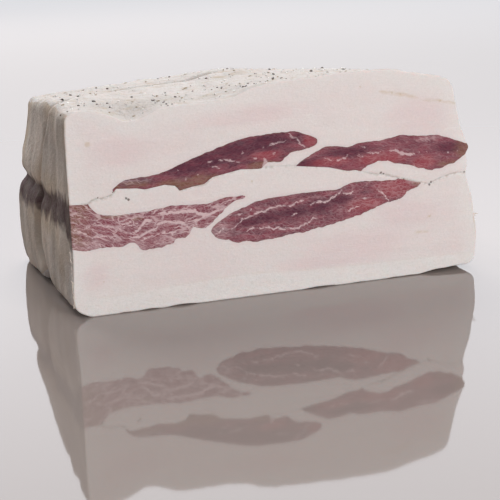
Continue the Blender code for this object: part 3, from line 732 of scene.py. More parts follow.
def cut(piece, operation, other):
    """Trims or hollows a piece with another one."""
    make_active(piece)
    modifier = piece.modifiers.new(operation.title(), "BOOLEAN")
    modifier.operation = operation
    modifier.solver = "MANIFOLD"
    modifier.object = other
    before = len(piece.data.polygons)
    bpy.ops.object.modifier_apply(modifier=modifier.name)
    if len(piece.data.polygons) in (0, before):
        raise RuntimeError(f"{piece.name}: the {operation} with {other.name} changed nothing")


def add_values(piece, name, values):
    """Keeps one value or vector for each point, for the materials to read."""
    kind = "FLOAT_VECTOR" if values.ndim == 2 else "FLOAT"
    attribute = piece.data.attributes.new(name, kind, "POINT")
    field = "vector" if values.ndim == 2 else "value"
    attribute.data.foreach_set(field, values.astype(np.float32).ravel())


def to_strokes(places, strokes, beyond=3.0):
    """How far each place (x, z) lies outside the nearest stroke, which tapers; below 0 is inside."""
    nearest = np.full(len(places), beyond)
    for half, *line in strokes:
        pointed = len(line) > 1
        line = np.array(line if pointed else [line[0], (line[0][0] + 0.01, line[0][1])], float)
        runs = np.linalg.norm(np.diff(line, axis=0), axis=1)
        passed = np.r_[0, np.cumsum(runs)]
        for k, start in enumerate(line[:-1]):
            span = line[k + 1] - start
            t = np.clip((places - start) @ span / (span @ span), 0, 1)
            gap = np.linalg.norm(places - start - t[:, None] * span, axis=1)
            along = (passed[k] + t * runs[k]) / passed[-1]
            bulge = np.sqrt(np.abs(np.sin(math.pi * along))) if pointed else 1.0
            taper = STREAK_TIP + (1 - STREAK_TIP) * bulge
            nearest = np.minimum(nearest, gap - half * taper)
    return nearest


def blobs(places, spots):
    """Soft round patches, 1 at the middle of each spot (x, z, half length, half height)."""
    found = np.zeros(len(places))
    for x, z, half_x, half_z in spots:
        reach = np.hypot((places[:, 0] - x) / half_x, (places[:, 1] - z) / half_z)
        found = np.maximum(found, np.exp(-reach ** 2))
    return found


def nearest_point(places, outline):
    """How far each place (x, z) is from the nearest point of a finely walked outline."""
    tree = kdtree.KDTree(len(outline))
    for number, (x, z) in enumerate(outline.tolist()):
        tree.insert((x, 0, z), number)
    tree.balance()
    return np.array([tree.find((x, 0, z))[2] for x, z in places.tolist()])


def from_outside(points, side):
    """How deep points lie under the outer side of their slab, and how deep under its ends."""
    x, y, z = points.T
    outer = top_height(x, y) - z if side > 0 else z - underside(x, y)
    return outer, np.minimum(x - left_end(y, z), right_end(y, z) - x)


def add_outside_values(piece, points, side):
    """How far points belong to an end, how much painted shade they get in the hollows and along the
    fold, how much painted highlight on the crest, and how far they lie above the seam.
    """
    x, y, z = points.T
    outer, end = from_outside(points, side)
    add_values(piece, "end", ease(END_SHARE + (outer - end) / END_BLEND))
    off_crease = y - curve_through(CREASE_TOP, x)
    # Painted shade in the crease and in the valley before it, and in the groove on the left end
    crease_shade = CREASE_SHADE * bell(off_crease - SHADE_BEHIND, SHADE_WIDTH)
    valley = VALLEY_SHADE * bell(x - VALLEY[0], VALLEY[2]) * bell(y - VALLEY[1], VALLEY[3])
    tinted = crease_fade(x, HOLLOW_LOSS) * np.maximum(crease_shade, valley)
    groove = bell(y - curve_through(CREASE_END, z), GROOVE_SHADE_WIDTH) * (x < 0)
    add_values(piece, "hollow_shade", np.where(outer < end, tinted, groove))
    # Painted shade, with the cure's stain, along the fold in the crease
    add_values(piece, "fold", bell(off_crease, 2 * FOLD_WIDTH) * crease_fade(x, LINE_LOSS))
    # A painted highlight along the crest before the crease
    crest_highlight = bell(off_crease + CREST_BEFORE, CREST_WIDTH)
    add_values(piece, "crest_highlight", crest_highlight * crease_fade(x, CREST_LOSS))
    seam = np.interp(x, *np.array(SEAM).T) - DEPTH_DROP * depth_share(y)
    add_values(piece, "above", z - seam)


def add_lean_values(muscle, name, shape, outline):
    """What the lean's material reads, worked out where each point would lie on the front cut."""
    flat = carried_back(get_points(muscle), shape)
    share = depth_share(flat[:, 1])[:, None]
    drift, wiggle = (np.column_stack([bumps(flat, size, seed + k) for k in (0, 1)])
                     for size, seed in (STREAK_DRIFTS, STREAK_WIGGLES))
    places = flat[:, ::2] + STREAK_DRIFT * share * drift + STREAK_WIGGLE * wiggle
    level = curve_through(shape["grain"], places[:, 0])
    across = places[:, 1] - level
    along = places[:, 0] + GRAIN_SLANT * across
    add_values(muscle, "grain", np.column_stack((along, flat[:, 1], across)))
    add_values(muscle, "streak", to_strokes(places, STREAKS[name]))
    add_values(muscle, "rim", np.minimum(nearest_point(flat[:, ::2], outline), FAR_FROM_RIM))
    for kind in ("dry", "deep", "fresh", "pale"):
        add_values(muscle, kind, blobs(places, TINTS[name].get(kind, ())))


def mark_skin(piece, side):
    """Gives the faces of the cured outside the second material."""
    centre = read_all(piece.data.polygons, "center").astype(float) / MM + (MIDDLE_X, 0, 0)
    outer, end = from_outside(centre, side)
    skin = (np.abs(centre[:, 1]) < DEPTH / 2 - CUT_SKIN) & (np.minimum(outer, end) < SKIN_DEPTH)
    piece.data.polygons.foreach_set("material_index", skin.astype(np.int32))


def add_fat_values(slab, side, outlines):
    """What the fat's materials read."""
    points = get_points(slab)
    x, y, z = points.T
    outer, end = from_outside(points, side)
    add_values(slab, "outer", np.clip(np.minimum(outer, end), 0, FAR))
    add_outside_values(slab, points, side)
    add_values(slab, "stained", blobs(points[:, ::2], SEAM_STAINS))
    add_values(slab, "fat_streak", to_strokes(points[:, ::2], FAT_STREAKS))
    band = curve_through(BAND, x) if side < 0 else np.full(len(x), -FAR)
    add_values(slab, "band", np.clip(band - z, -FAR, FAR))
    on_cut = np.abs(y) > DEPTH / 2 - CUT_LAYER
    near = np.full(len(points), FAR_FROM_LEAN)
    for name, outline in outlines.items():
        if MUSCLES[name]["side"] == side:
            flat = carried_back(points[on_cut], MUSCLES[name])[:, ::2]
            near[on_cut] = np.minimum(near[on_cut], nearest_point(flat, outline))
    add_values(slab, "near_lean", near)
    add_values(slab, "pink", blobs(points[:, ::2], PINK_ZONES))


def finish_piece(piece, node):
    piece.data.update()
    make_active(piece)
    bpy.ops.object.shade_smooth_by_angle(angle=math.radians(SMOOTH_ANGLE))
    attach(piece, BODY)
    if node:
        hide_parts(node)


def add_node(tree, kind, inputs=None, **settings):
    """A node with its settings; each input is a value or the output socket that feeds it."""
    made = tree.nodes.new(kind)
    for key, value in settings.items():
        setattr(made, key, value)
    for key, value in (inputs or {}).items():
        if isinstance(value, bpy.types.NodeSocket):
            tree.links.new(value, made.inputs[key])
        else:
            made.inputs[key].default_value = value
    return made


def new_material(name):
    """An empty node tree with its output and Principled shader."""
    made = bpy.data.materials.new(name)
    made.use_nodes = True
    made.node_tree.nodes.clear()
    tree = made.node_tree
    shader = add_node(tree, "ShaderNodeBsdfPrincipled")
    add_node(tree, "ShaderNodeOutputMaterial", {"Surface": shader.outputs[0]})
    return made, tree, shader


# Roughness and index of refraction: the lean is mostly water, and the fat is as glossy as lard
LEAN_GLOSS, FAT_GLOSS, SKIN_GLOSS = (0.42, 1.4), (0.5, 1.45), (0.75, 1.45)
SKIN_SPECULAR = 0.25  # dried fat has almost no gloss
SCATTER = (1.0, 0.45, 0.35)  # how far red, green and blue light go inside, beside each other
PALER = 0.35  # how far a grain's broken sides go towards white


def set_gloss(shader, roughness, refraction):
    shader.inputs["Roughness"].default_value = roughness
    shader.inputs["IOR"].default_value = refraction


def dull_material(name, code, roughness):
    """Dry grains of one kind: dull, with paler broken sides, so that each one reads by itself."""
    made, tree, shader = new_material(name)
    where = in_millimetres(tree)
    shades = mottle(tree, where, (1.4, 1.4, 1.4), 0.3, 0.7)
    pale = tuple(PALER + (1 - PALER) * v for v in code)
    set_colour(tree, shader, laid_over(tree, code, ((product(tree, shades, 0.3), pale),)))
    shader.inputs["Roughness"].default_value = roughness
    return made


def in_millimetres(tree):
    """The point's place on the outlines' scale."""
    place = add_node(tree, "ShaderNodeTexCoord").outputs["Object"]
    return add_node(tree, "ShaderNodeMapping", {
        "Vector": place, "Scale": (1 / MM,) * 3, "Location": (MIDDLE_X, 0, 0)}).outputs[0]


def mottle(tree, where, run, low, high, detail=3.0, shift=0.0):
    """Soft noise patches about run (x, y, z) mm wide: 0 below the low value, 1 above the high one."""
    scaled = add_node(tree, "ShaderNodeMapping", {
        "Vector": where, "Scale": [1 / r for r in run], "Location": (shift,) * 3})
    patches = add_node(tree, "ShaderNodeTexNoise", {
        "Vector": scaled.outputs[0], "Scale": 1.0, "Detail": detail})
    return add_node(tree, "ShaderNodeMapRange", {
        "Value": patches.outputs[0], "From Min": low, "From Max": high}).outputs[0]


def network(tree, where, run, thin, wide, shift=0.0):
    """Lines between packed cells about run mm wide: 1 on a line, 0 inside a cell."""
    scaled = add_node(tree, "ShaderNodeMapping", {
        "Vector": where, "Scale": [1 / r for r in run], "Location": (shift,) * 3})
    cells = add_node(tree, "ShaderNodeTexVoronoi", {"Vector": scaled.outputs[0], "Scale": 1.0},
                     feature="DISTANCE_TO_EDGE")
    return add_node(tree, "ShaderNodeMapRange", {
        "Value": cells.outputs["Distance"], "From Min": wide, "From Max": thin}).outputs[0]


def reading(tree, name, low, high):
    """A value kept on the points: 0 at the low value, 1 at the high one, even if it is lower."""
    kept = add_node(tree, "ShaderNodeAttribute", attribute_name=name).outputs["Fac"]
    return add_node(tree, "ShaderNodeMapRange", {
        "Value": kept, "From Min": low, "From Max": high}, interpolation_type="SMOOTHSTEP").outputs[0]


def product(tree, *factors):
    result = factors[0]
    for factor in factors[1:]:
        result = add_node(tree, "ShaderNodeMath", {0: result, 1: factor},
                          operation="MULTIPLY").outputs[0]
    return result


def greatest(tree, *factors):
    result = factors[0]
    for factor in factors[1:]:
        result = add_node(tree, "ShaderNodeMath", {0: result, 1: factor},
                          operation="MAXIMUM").outputs[0]
    return result


def laid_over(tree, base, layers):
    """The base colour with each (factor, colour) laid over it in turn."""
    base = (*base, 1)
    for factor, over in layers:
        base = add_node(tree, "ShaderNodeMix", {0: factor, 6: base, 7: (*over, 1)},
                        data_type="RGBA").outputs[2]
    return base


def set_colour(tree, shader, found):
    tree.links.new(found, shader.inputs["Base Color"])


def spots_mask(tree, where, marks):
    """1 in each small mark (x, z, radius) on the front cut."""
    masks = []
    for x, z, radius in marks:
        gap = add_node(tree, "ShaderNodeVectorMath", {0: where, 1: (x, FRONT_Y, z)},
                       operation="DISTANCE").outputs["Value"]
        masks.append(add_node(tree, "ShaderNodeMapRange", {
            "Value": gap, "From Min": radius * MARK_EDGE[0],
            "From Max": radius * MARK_EDGE[1]}).outputs[0])
    return greatest(tree, *masks)


def wandering(tree, where, run, reach):
    """The place moved about by soft noise, so that what is drawn there isn't straight."""
    scaled = add_node(tree, "ShaderNodeMapping", {"Vector": where, "Scale": [1 / r for r in run]})
    way = add_node(tree, "ShaderNodeTexNoise", {
        "Vector": scaled.outputs[0], "Scale": 1.0, "Detail": 2.0}).outputs["Color"]
    centred = add_node(tree, "ShaderNodeVectorMath", {0: way, 1: (0.5, 0.5, 0.5)},
                       operation="SUBTRACT").outputs[0]
    return add_node(tree, "ShaderNodeVectorMath", {0: centred, 1: (reach,) * 3, 2: where},
                    operation="MULTIPLY_ADD").outputs[0]


def raise_surface(tree, shader, height, rise):
    """Fine relief that is too small for the mesh; rise is its height in mm."""
    lifted = add_node(tree, "ShaderNodeBump", {"Height": height, "Distance": rise * MM})
    tree.links.new(lifted.outputs[0], shader.inputs["Normal"])


def glow_inside(shader, weight, reach):
    """Light scattered inside, as in wax: red goes furthest. Reach in mm."""
    shader.inputs["Subsurface Weight"].default_value = weight
    shader.inputs["Subsurface Radius"].default_value = SCATTER
    shader.inputs["Subsurface Scale"].default_value = reach * MM


def lean_material(name, colours):
    """Cured lean pork, knife-cut: moist satin that lets a little light in, with red bundles of fibre
    packed in white fat, dark in the dense core and brown where the air has dried it, and pale specks
    that are partly fat and partly painted sparkle of its sheen."""
    (length, height), clear, (fine_length, fine_height), veined, dark, white = LOOKS[name]
    made, tree, shader = new_material(name.replace("lean", "cured_lean"))
    grain = add_node(tree, "ShaderNodeAttribute", attribute_name="grain").outputs["Vector"]
    bent = wandering(tree, grain, (6, 40, 3), 2.0)
    rough_grain = wandering(tree, bent, (0.9, 30, 0.8), 0.45)
    pale = reading(tree, "pale", 0.1, 0.8)

    # The listed streaks, with edges as uneven as cut fat has
    streak = add_node(tree, "ShaderNodeAttribute", attribute_name="streak").outputs["Fac"]
    uneven = mottle(tree, grain, (1.1, 30, 0.7), 0.25, 0.75)
    edge = add_node(tree, "ShaderNodeMath", {0: uneven, 1: 0.9, 2: streak},
                    operation="MULTIPLY_ADD").outputs[0]
    streaks = add_node(tree, "ShaderNodeMapRange", {
        "Value": edge, "From Min": 0.62, "From Max": 0.2}).outputs[0]

    # Fat between the bundles, which comes and goes, and fainter between the finer strands
    comes = mottle(tree, grain, (9, 50, 4), 0.36, 0.5, shift=4.0)
    bundles = product(tree, network(tree, rough_grain, (length, 60, height), 0.03, 0.085),
                      comes, reading(tree, "deep", 0.8, 0.2), clear)
    thick = product(tree, network(tree, rough_grain, (3.2, 60, 1.6), 0.04, 0.18, shift=7.0),
                    pale, 0.3)
    fat = greatest(tree, product(tree, streaks, white), bundles, thick)
    strands = product(tree, network(tree, rough_grain, (fine_length, 60, fine_height), 0.02, 0.2),
                      reading(tree, "deep", 1.4, 0.2), veined)

    # Fibres are under 0.1 mm thick, too fine to show, so strands of them are drawn 0.45 mm thick
    shade = mottle(tree, grain, (8, 50, 2.6), 0.34, 0.66)
    fibres = mottle(tree, grain, (2.4, 50, 0.45), 0.36, 0.7)
    # Pale specks: flecks of fat, and painted highlight sparkles of the moist sheen
    pale_specks_and_glints = mottle(tree, grain, (0.5, 30, 0.4), 0.6, 0.7, detail=1.0)
    dark_specks = mottle(tree, grain, (0.8, 30, 0.5), 0.56, 0.72, detail=2.0, shift=9.0)
    deep = product(tree, reading(tree, "deep", 0.15, 0.75),
                   mottle(tree, rough_grain, (2.6, 40, 1.1), 0.05, 0.6, shift=6.0))
    rim = product(tree, reading(tree, "rim", 0.9, 0.1),
                  mottle(tree, grain, (4, 40, 4), 0.4, 0.6, shift=2.0))
    dried = mottle(tree, grain, (4, 40, 1.6), 0.22, 0.55, detail=4.0, shift=5.0)
    found = laid_over(tree, colours.lean, (
        (product(tree, shade, dark), colours.lean_deep),
        (product(tree, fibres, 0.2), colours.lean_fresh),
        (product(tree, deep, 0.8), colours.lean_deep),
        (product(tree, dark_specks, 0.3), colours.lean_deep),
        (product(tree, reading(tree, "fresh", 0.15, 0.8), 0.65), colours.lean_fresh),
        (product(tree, reading(tree, "dry", 0.1, 0.7), dried, 0.75), colours.lean_brown),
        (product(tree, rim, 0.45), colours.lean_brown),
        (product(tree, pale, 0.08), colours.marbling),
        (strands, colours.marbling),
        (product(tree, pale_specks_and_glints, reading(tree, "deep", 1.5, 0.1), 1.3 * veined),
         colours.marbling),
        (fat, colours.marbling)))
    set_colour(tree, shader, found)
    set_gloss(shader, *LEAN_GLOSS)
    glow_inside(shader, 0.1, 0.6)
    raise_surface(tree, shader, greatest(tree, fat, product(tree, fibres, 0.5)), 0.12)
    return made


# The left end, in mm above the seam: where its dark band of dried lean starts and is full, where it
# ends again, and where the pale fringe starts and is full
BAND_FOOT, BAND_TOP, FRINGE_LEVEL = (-11, -5), (9, 4), (-18, -28)
BAND_WANDER = 9.0  # how unevenly the band runs, in mm
# In mm behind the front cut: where the stained rim and the fringe start and are full
RIM_DEPTH, FRINGE_DEPTH = (9.0, 1.5), (13.0, 3.0)
LEFT_HALF = (10, -10)  # along X: where the left end's own layers start and are full


def end_layers(tree, where, colours, amount):
    """Layers of the dried ends: grey-olive folds with a dark, fibrous band under the seam, and
    painted shade in the groove.
    """
    bent = wandering(tree, where, (20, 16, 16), 14.0)
    ribs = mottle(tree, bent, (26, 24, 36), 0.36, 0.64, detail=1.0)
    fine_ribs = mottle(tree, bent, (16, 11, 24), 0.5, 0.66, detail=1.5, shift=8.0)
    olive = mottle(tree, where, (24, 26, 26), 0.42, 0.6, detail=1.5, shift=1.0)
    fibres = mottle(tree, bent, (8, 7, 8), 0.2, 0.8, detail=2.0, shift=3.0)
    streaky = mottle(tree, bent, (7, 4, 7), 0.4, 0.6, detail=2.0, shift=6.0)

    # How far each point lies in the ranges that are named above
    along, depth, _ = add_node(tree, "ShaderNodeSeparateXYZ", {"Vector": where}).outputs
    above = add_node(tree, "ShaderNodeAttribute", attribute_name="above").outputs["Fac"]
    level = add_node(tree, "ShaderNodeMath", {0: fibres, 1: BAND_WANDER, 2: above},
                     operation="MULTIPLY_ADD").outputs[0]
    from_front = [[FRONT_Y + depth_in for depth_in in span] for span in (RIM_DEPTH, FRINGE_DEPTH)]
    at_left, by_front, near_front, under_top = (
        add_node(tree, "ShaderNodeMapRange", {
            "Value": value, "From Min": starts, "From Max": full}).outputs[0]
        for value, (starts, full) in ((along, LEFT_HALF), (depth, from_front[0]),
                                      (depth, from_front[1]), (level, BAND_TOP)))
    lower = add_node(tree, "ShaderNodeMath", {0: by_front, 1: BAND_WANDER, 2: level},
                     operation="MULTIPLY_ADD").outputs[0]
    over_foot = add_node(tree, "ShaderNodeMapRange", {
        "Value": lower, "From Min": BAND_FOOT[0], "From Max": BAND_FOOT[1]}).outputs[0]
    band = product(tree, amount, at_left, over_foot, under_top)
    fringe = product(tree, reading(tree, "above", *FRINGE_LEVEL), near_front)
    return ((amount, colours.end_skin),
            (product(tree, amount, olive, 0.45), colours.skin_tan),
            (product(tree, amount, ribs, 0.5), colours.skin_grey),
            (product(tree, amount, fine_ribs, 0.16), colours.dark_skin),
            # Painted shade in the groove
            (product(tree, amount, reading(tree, "hollow_shade", 0.2, 1.0), 0.6), colours.dark_skin),
            (product(tree, band, 0.88), colours.dark_skin),
            (product(tree, band, streaky, 0.4), colours.lean_deep),
            (product(tree, amount, by_front, mottle(tree, where, (9, 2, 6), 0.4, 0.6), 0.35),
             colours.olive),
            (product(tree, amount, fringe, mottle(tree, where, (9, 5, 5), 0.3, 0.55), 0.65),
             colours.fat_rind))


def fat_material(colours):
    """Cured back fat, knife-cut: waxy satin that light sinks into, cream at the outside, pink
    by the lean, with lengthwise drag lines from the knife."""
    made, tree, shader = new_material("cut_back_fat")
    where = in_millimetres(tree)
    bent = wandering(tree, where, (26, 40, 12), 5.0)
    soft = mottle(tree, where, (34, 40, 22), 0.38, 0.68)
    zones = reading(tree, "pink", 0.1, 0.9)
    halo = reading(tree, "near_lean", 2.4, 0.2)
    cream = reading(tree, "outer", 13.0, 1.0)

    # A knife's drag lines are about 0.1 mm apart, too fine to show, so they are drawn 0.7 mm apart
    drag = mottle(tree, where, (16, 40, 0.7), 0.35, 0.7)
    drag_back = mottle(tree, where, (11, 40, 1.3), 0.4, 0.75, shift=5.0)
    band = product(tree, reading(tree, "band", -1.2, 1.2), 0.8)
    band_edge = product(tree, reading(tree, "band", -0.9, 0.0), reading(tree, "band", 0.9, 0.0),
                        mottle(tree, where, (16, 30, 9), 0.35, 0.55, shift=2.0))
    fibres = product(tree, mottle(tree, bent, (13, 40, 0.55), 0.6, 0.72),
                     mottle(tree, where, (24, 40, 9), 0.45, 0.6, shift=9.0))
    streaks = add_node(tree, "ShaderNodeAttribute", attribute_name="fat_streak").outputs["Fac"]
    streaks = add_node(tree, "ShaderNodeMapRange", {
        "Value": streaks, "From Min": 0.7, "From Max": -0.5}).outputs[0]
    streaks = product(tree, mottle(tree, where, (3, 9, 1.2), 0.3, 0.55, shift=5.0), streaks)
    coarse = mottle(tree, where, (1.6, 3, 1.2), 0.45, 0.7)
    crumbs = mottle(tree, where, (0.8, 2, 0.7), 0.62, 0.7, detail=1.0)

    # The cure has crept into the seam and stained it here and there
    crack = product(tree, reading(tree, "above", -1.3, -0.1), reading(tree, "above", 1.3, 0.1))
    soaked = product(tree, reading(tree, "stained", 0.1, 0.6),
                     mottle(tree, where, (2, 9, 1.4), 0.46, 0.62))
    crept = mottle(tree, where, (4, 30, 9), 0.52, 0.65, shift=3.0)
    stain = product(tree, crack, greatest(tree, crept, soaked))
    rim = product(tree, reading(tree, "outer", 1.0, 0.1), reading(tree, "end", 0.3, 0.8),
                  mottle(tree, where, (3, 9, 3), 0.35, 0.6, shift=4.0))
    speckle = mottle(tree, where, (0.9, 3, 0.8), 0.3, 0.7, detail=4.0, shift=7.0)
    jagged = wandering(tree, where, (0.9, 0.9, 0.9), 0.9)
    found = laid_over(tree, colours.fat, (
        (product(tree, soft, 0.3), colours.fat_pink),
        (product(tree, zones, 0.6), colours.fat_pink),
        (product(tree, halo, 0.4), colours.fat_pink),
        (product(tree, drag, 0.22), colours.fat_rind),
        (product(tree, drag_back, 0.1), colours.fat_pink),
        (product(tree, cream, 0.7), colours.fat_rind),
        (band, colours.fat_rind),
        (product(tree, coarse, band, 0.12), colours.skin_grey),
        (product(tree, band_edge, 0.1), colours.skin_tan),
        (product(tree, fibres, 0.22), colours.salt),
        (product(tree, crumbs, 0.15), colours.fat_pink),
        (product(tree, speckle, 0.16), colours.skin_grey),
        (product(tree, rim, 0.4), colours.skin_tan),
        (product(tree, streaks, 0.5), colours.skin_tan),
        (product(tree, stain, 0.38), colours.olive),
        (product(tree, spots_mask(tree, jagged, TAN_MARKS), 0.45), colours.skin_tan),
        # Painted shade in the small crevices along the seam
        (product(tree, spots_mask(tree, jagged, CREVICE_SHADE_MARKS), 0.85), colours.pepper)))
    set_colour(tree, shader, found)
    set_gloss(shader, *FAT_GLOSS)
    glow_inside(shader, 0.3, 2.0)
    fine = mottle(tree, where, (3, 3, 0.35), 0.3, 0.7)
    raise_surface(tree, shader, greatest(tree, product(tree, fine, 0.6), coarse), 0.07)
    return made


def skin_material(colours):
    """Outside of back fat, air-dried under spice: dull and crumbly, cream on the top with grey
    painted shade in the crease and the valley, a painted highlight on the crest and painted shade
    with stain along the fold, and tan and grey folds on the ends with painted shade in the groove."""
    made, tree, shader = new_material("cured_fat_skin")
    where = in_millimetres(tree)
    ends = reading(tree, "end", 0.2, 0.8)
    hollow_shade = reading(tree, "hollow_shade", 0.1, 0.9)

    # Dust of the cure is finer than 0.3 mm, too fine to show, so it is drawn 0.7 mm wide
    crumb = mottle(tree, where, (2.4, 2.4, 2.4), 0.35, 0.7)
    tan = mottle(tree, where, (9, 6, 9), 0.58, 0.72)
    grey = mottle(tree, where, (22, 12, 22), 0.45, 0.7, shift=6.0)
    dust = mottle(tree, where, (0.7, 0.7, 0.7), 0.6, 0.72, detail=1.0)
    stipple = mottle(tree, where, (1.3, 2.6, 1.3), 0.56, 0.68, detail=2.0, shift=3.0)
    bent = wandering(tree, where, (20, 9, 20), 5.0)
    lines = mottle(tree, bent, (20, 1.7, 9), 0.5, 0.68, shift=4.0)
    # The fold's line: painted shade in the fold, and the cure's stain
    fold = product(tree, reading(tree, "fold", 0.2, 0.9), mottle(tree, where, (7, 5, 7), 0.2, 0.5))
    found = laid_over(tree, colours.skin, (
        (product(tree, grey, 0.25), colours.skin_grey),
        (product(tree, crumb, 0.2), colours.fat_rind),
        # Painted shade in the crease and the valley
        (product(tree, hollow_shade, 0.4), colours.skin_grey),
        (product(tree, hollow_shade, stipple, 0.4), colours.dark_skin),
        # Painted highlight on the crest before the crease
        (product(tree, reading(tree, "crest_highlight", 0.2, 0.9), 0.6), colours.salt),
        (product(tree, tan, 0.5), colours.skin_tan),
        (product(tree, dust, 0.3), colours.skin_tan),
        (product(tree, lines, 0.3), colours.skin_tan),
        (product(tree, fold, 0.85), colours.olive), *end_layers(tree, where, colours, ends)))
    set_colour(tree, shader, found)
    set_gloss(shader, *SKIN_GLOSS)
    shader.inputs["Specular IOR Level"].default_value = SKIN_SPECULAR
    glow_inside(shader, 0.15, 1.2)
    raise_surface(tree, shader, greatest(tree, crumb, dust), 0.25)
    return made


# The camera: azimuth, elevation and roll in degrees, the point it looks at and how far it is, and
# the focal length
CAMERA_TURN = (-19.0, 14.9, -1.73)
CAMERA_AIM = (4.4, 0.0, 7.1)
CAMERA_DISTANCE = 715.0
CAMERA_LENS = 93.6
CAMERA_NEAR = 0.02  # metres

# Softboxes: name, place, aim, side in metres, power in watts
LIGHTS = (
    ("key_softbox", (0.45, -1.66, 0.53), (0, 0, 0.05), 1.0, 28.0),
    ("back_softbox", (0.0, 1.3, 1.15), (0, 0, 0.05), 1.6, 35.0),
)
STUDIO_LIGHT, AMBIENT = "F9FAFF", 0.30
# Brightness mirrored by glossy surfaces: in front, and behind from the horizon up
FRONT_GLOSS, BACKDROP_GLOSS = 0.35, (1.07, 2.2)
# Directions between which the backdrop brightens (Z) and the front turns into it (Y)
BACKDROP_RISE, BACKDROP_TURN = (0.1, 0.32), (-0.2, 0.5)
FLOOR_SIDE = 12.0  # metres
FLOOR_GLOSS = (0.04, 1.8)  # above stone's own 1.5, matched to how strongly the real floor mirrors


class LARDO_OT_stage(bpy.types.Operator):
    """Pale polished floor, soft studio light and the camera"""
    bl_idname = "lardo.stage"
    bl_label = "Stage, light and camera"

    def execute(self, context):
        colours = context.scene.lardo_colours
        deselect()
        bpy.ops.mesh.primitive_plane_add(size=FLOOR_SIDE, location=(0, 0, 0))
        floor = context.object
        floor.name = "floor"
        # Polished limestone mirrors at a low angle, so the front cut stands under itself in the floor
        made, _, shader = new_material("polished_pale_stone")
        shader.inputs["Base Color"].default_value = (*colours.floor, 1)
        set_gloss(shader, *FLOOR_GLOSS)
        floor.data.materials.append(made)

        for name, place, aim, size, power in LIGHTS:
            lamp = bpy.data.lights.new(name, "AREA")
            lamp.shape = "SQUARE"
            lamp.size = size
            lamp.energy = power
            lit = bpy.data.objects.new(name, lamp)
            context.scene.collection.objects.link(lit)
            lit.location = place
            lit.rotation_euler = (Vector(aim) - Vector(place)).to_track_quat("-Z", "Y").to_euler()
            lit.visible_camera = False
            lit.visible_glossy = False

        world = bpy.data.worlds.new("studio")
        context.scene.world = world
        world.use_nodes = True
        tree = world.node_tree
        tree.nodes.clear()
        where = add_node(tree, "ShaderNodeTexCoord").outputs["Generated"]
        _, behind, height = add_node(tree, "ShaderNodeSeparateXYZ", {"Vector": where}).outputs
        backdrop = add_node(tree, "ShaderNodeMapRange", {
            "Value": height, "From Min": BACKDROP_RISE[0], "From Max": BACKDROP_RISE[1],
            "To Min": BACKDROP_GLOSS[0], "To Max": BACKDROP_GLOSS[1]},
            interpolation_type="SMOOTHSTEP")
        mirrored = add_node(tree, "ShaderNodeMapRange", {
            "Value": behind, "From Min": BACKDROP_TURN[0], "From Max": BACKDROP_TURN[1],
            "To Min": FRONT_GLOSS, "To Max": backdrop.outputs["Result"]},
            interpolation_type="SMOOTHSTEP")
        path = add_node(tree, "ShaderNodeLightPath")
        strength = add_node(tree, "ShaderNodeMix", {
            "Factor": path.outputs["Is Glossy Ray"], "A": AMBIENT,
            "B": mirrored.outputs["Result"]})
        light = add_node(tree, "ShaderNodeBackground", {
            "Color": (*linear(STUDIO_LIGHT), 1), "Strength": strength.outputs[0]})
        add_node(tree, "ShaderNodeOutputWorld", {"Surface": light.outputs[0]})

        azimuth, elevation, roll = (math.radians(v) for v in CAMERA_TURN)
        back = Vector((math.sin(azimuth) * math.cos(elevation),
                       -math.cos(azimuth) * math.cos(elevation), math.sin(elevation)))
        right = (-back).cross(Vector((0, 0, 1))).normalized()
        above = back.cross(right)
        right, above = (math.cos(roll) * right + math.sin(roll) * above,
                        math.cos(roll) * above - math.sin(roll) * right)
        lens = bpy.data.cameras.new("camera")
        lens.lens = CAMERA_LENS
        lens.clip_start = CAMERA_NEAR
        camera = bpy.data.objects.new("camera", lens)
        context.scene.collection.objects.link(camera)
        turned = Matrix((right, above, back)).transposed().to_4x4()
        spot = Vector(CAMERA_AIM) * MM + back * CAMERA_DISTANCE * MM
        camera.matrix_world = Matrix.Translation(spot) @ turned
        context.scene.camera = camera
        context.scene.view_settings.view_transform = "Standard"
        return {"FINISHED"}


PAST_LEFT, PAST_RIGHT = 3.0, 5.0  # how far a muscle's fine grid runs past its outline
PAST_FACTOR, PAST_LEVEL = 1.25, 4.0  # how much further than the muscle it reaches from the seam
DEEP_STEP = 4.0  # the length of its faces through the block
DEEPER = 1.1  # faces are this much longer through the block than along it


def slab_height(side):
    return abs((HEIGHT if side > 0 else 0.0) - SEAM_LEVEL)


def slab_shape(name, places, side, sizes):
    """A subdivided box in the shape of the upper slab (side 1) or the lower one (side -1)."""
    piece, plain = sliced_box(name, places)
    if side < 0:
        piece.data.flip_normals()
    set_points(piece, slab_points(plain, side, sizes))
    return piece


def muscle_places(outline, shape, sizes, edge, step):
    """Where the box of a muscle is sliced: finely over the muscle only."""
    back = np.column_stack((outline[:, 0], np.full(len(outline), -FRONT_Y), outline[:, 1]))
    spread = np.vstack([outline, carried(back, shape)[:, ::2]])
    (left, low), (right, high) = spread.min(axis=0), spread.max(axis=0)
    left, right = max(left - PAST_LEFT, -LENGTH / 2), min(right + PAST_RIGHT, LENGTH / 2)
    fine = even(left, right, sizes.lean_cell)
    if left > -LENGTH / 2:
        fine = [-LENGTH / 2] + fine
    if right < LENGTH / 2:
        fine = fine + [LENGTH / 2]
    tall = slab_height(shape["side"])
    reach = high - SEAM_LEVEL if shape["side"] > 0 else SEAM_LEVEL - low
    reach = min(reach * PAST_FACTOR + PAST_LEVEL, tall)
    upward = np.array(even(0, reach, sizes.lean_cell) + [tall]) / tall
    return fine, even(FRONT_Y, -FRONT_Y, step, edge), upward


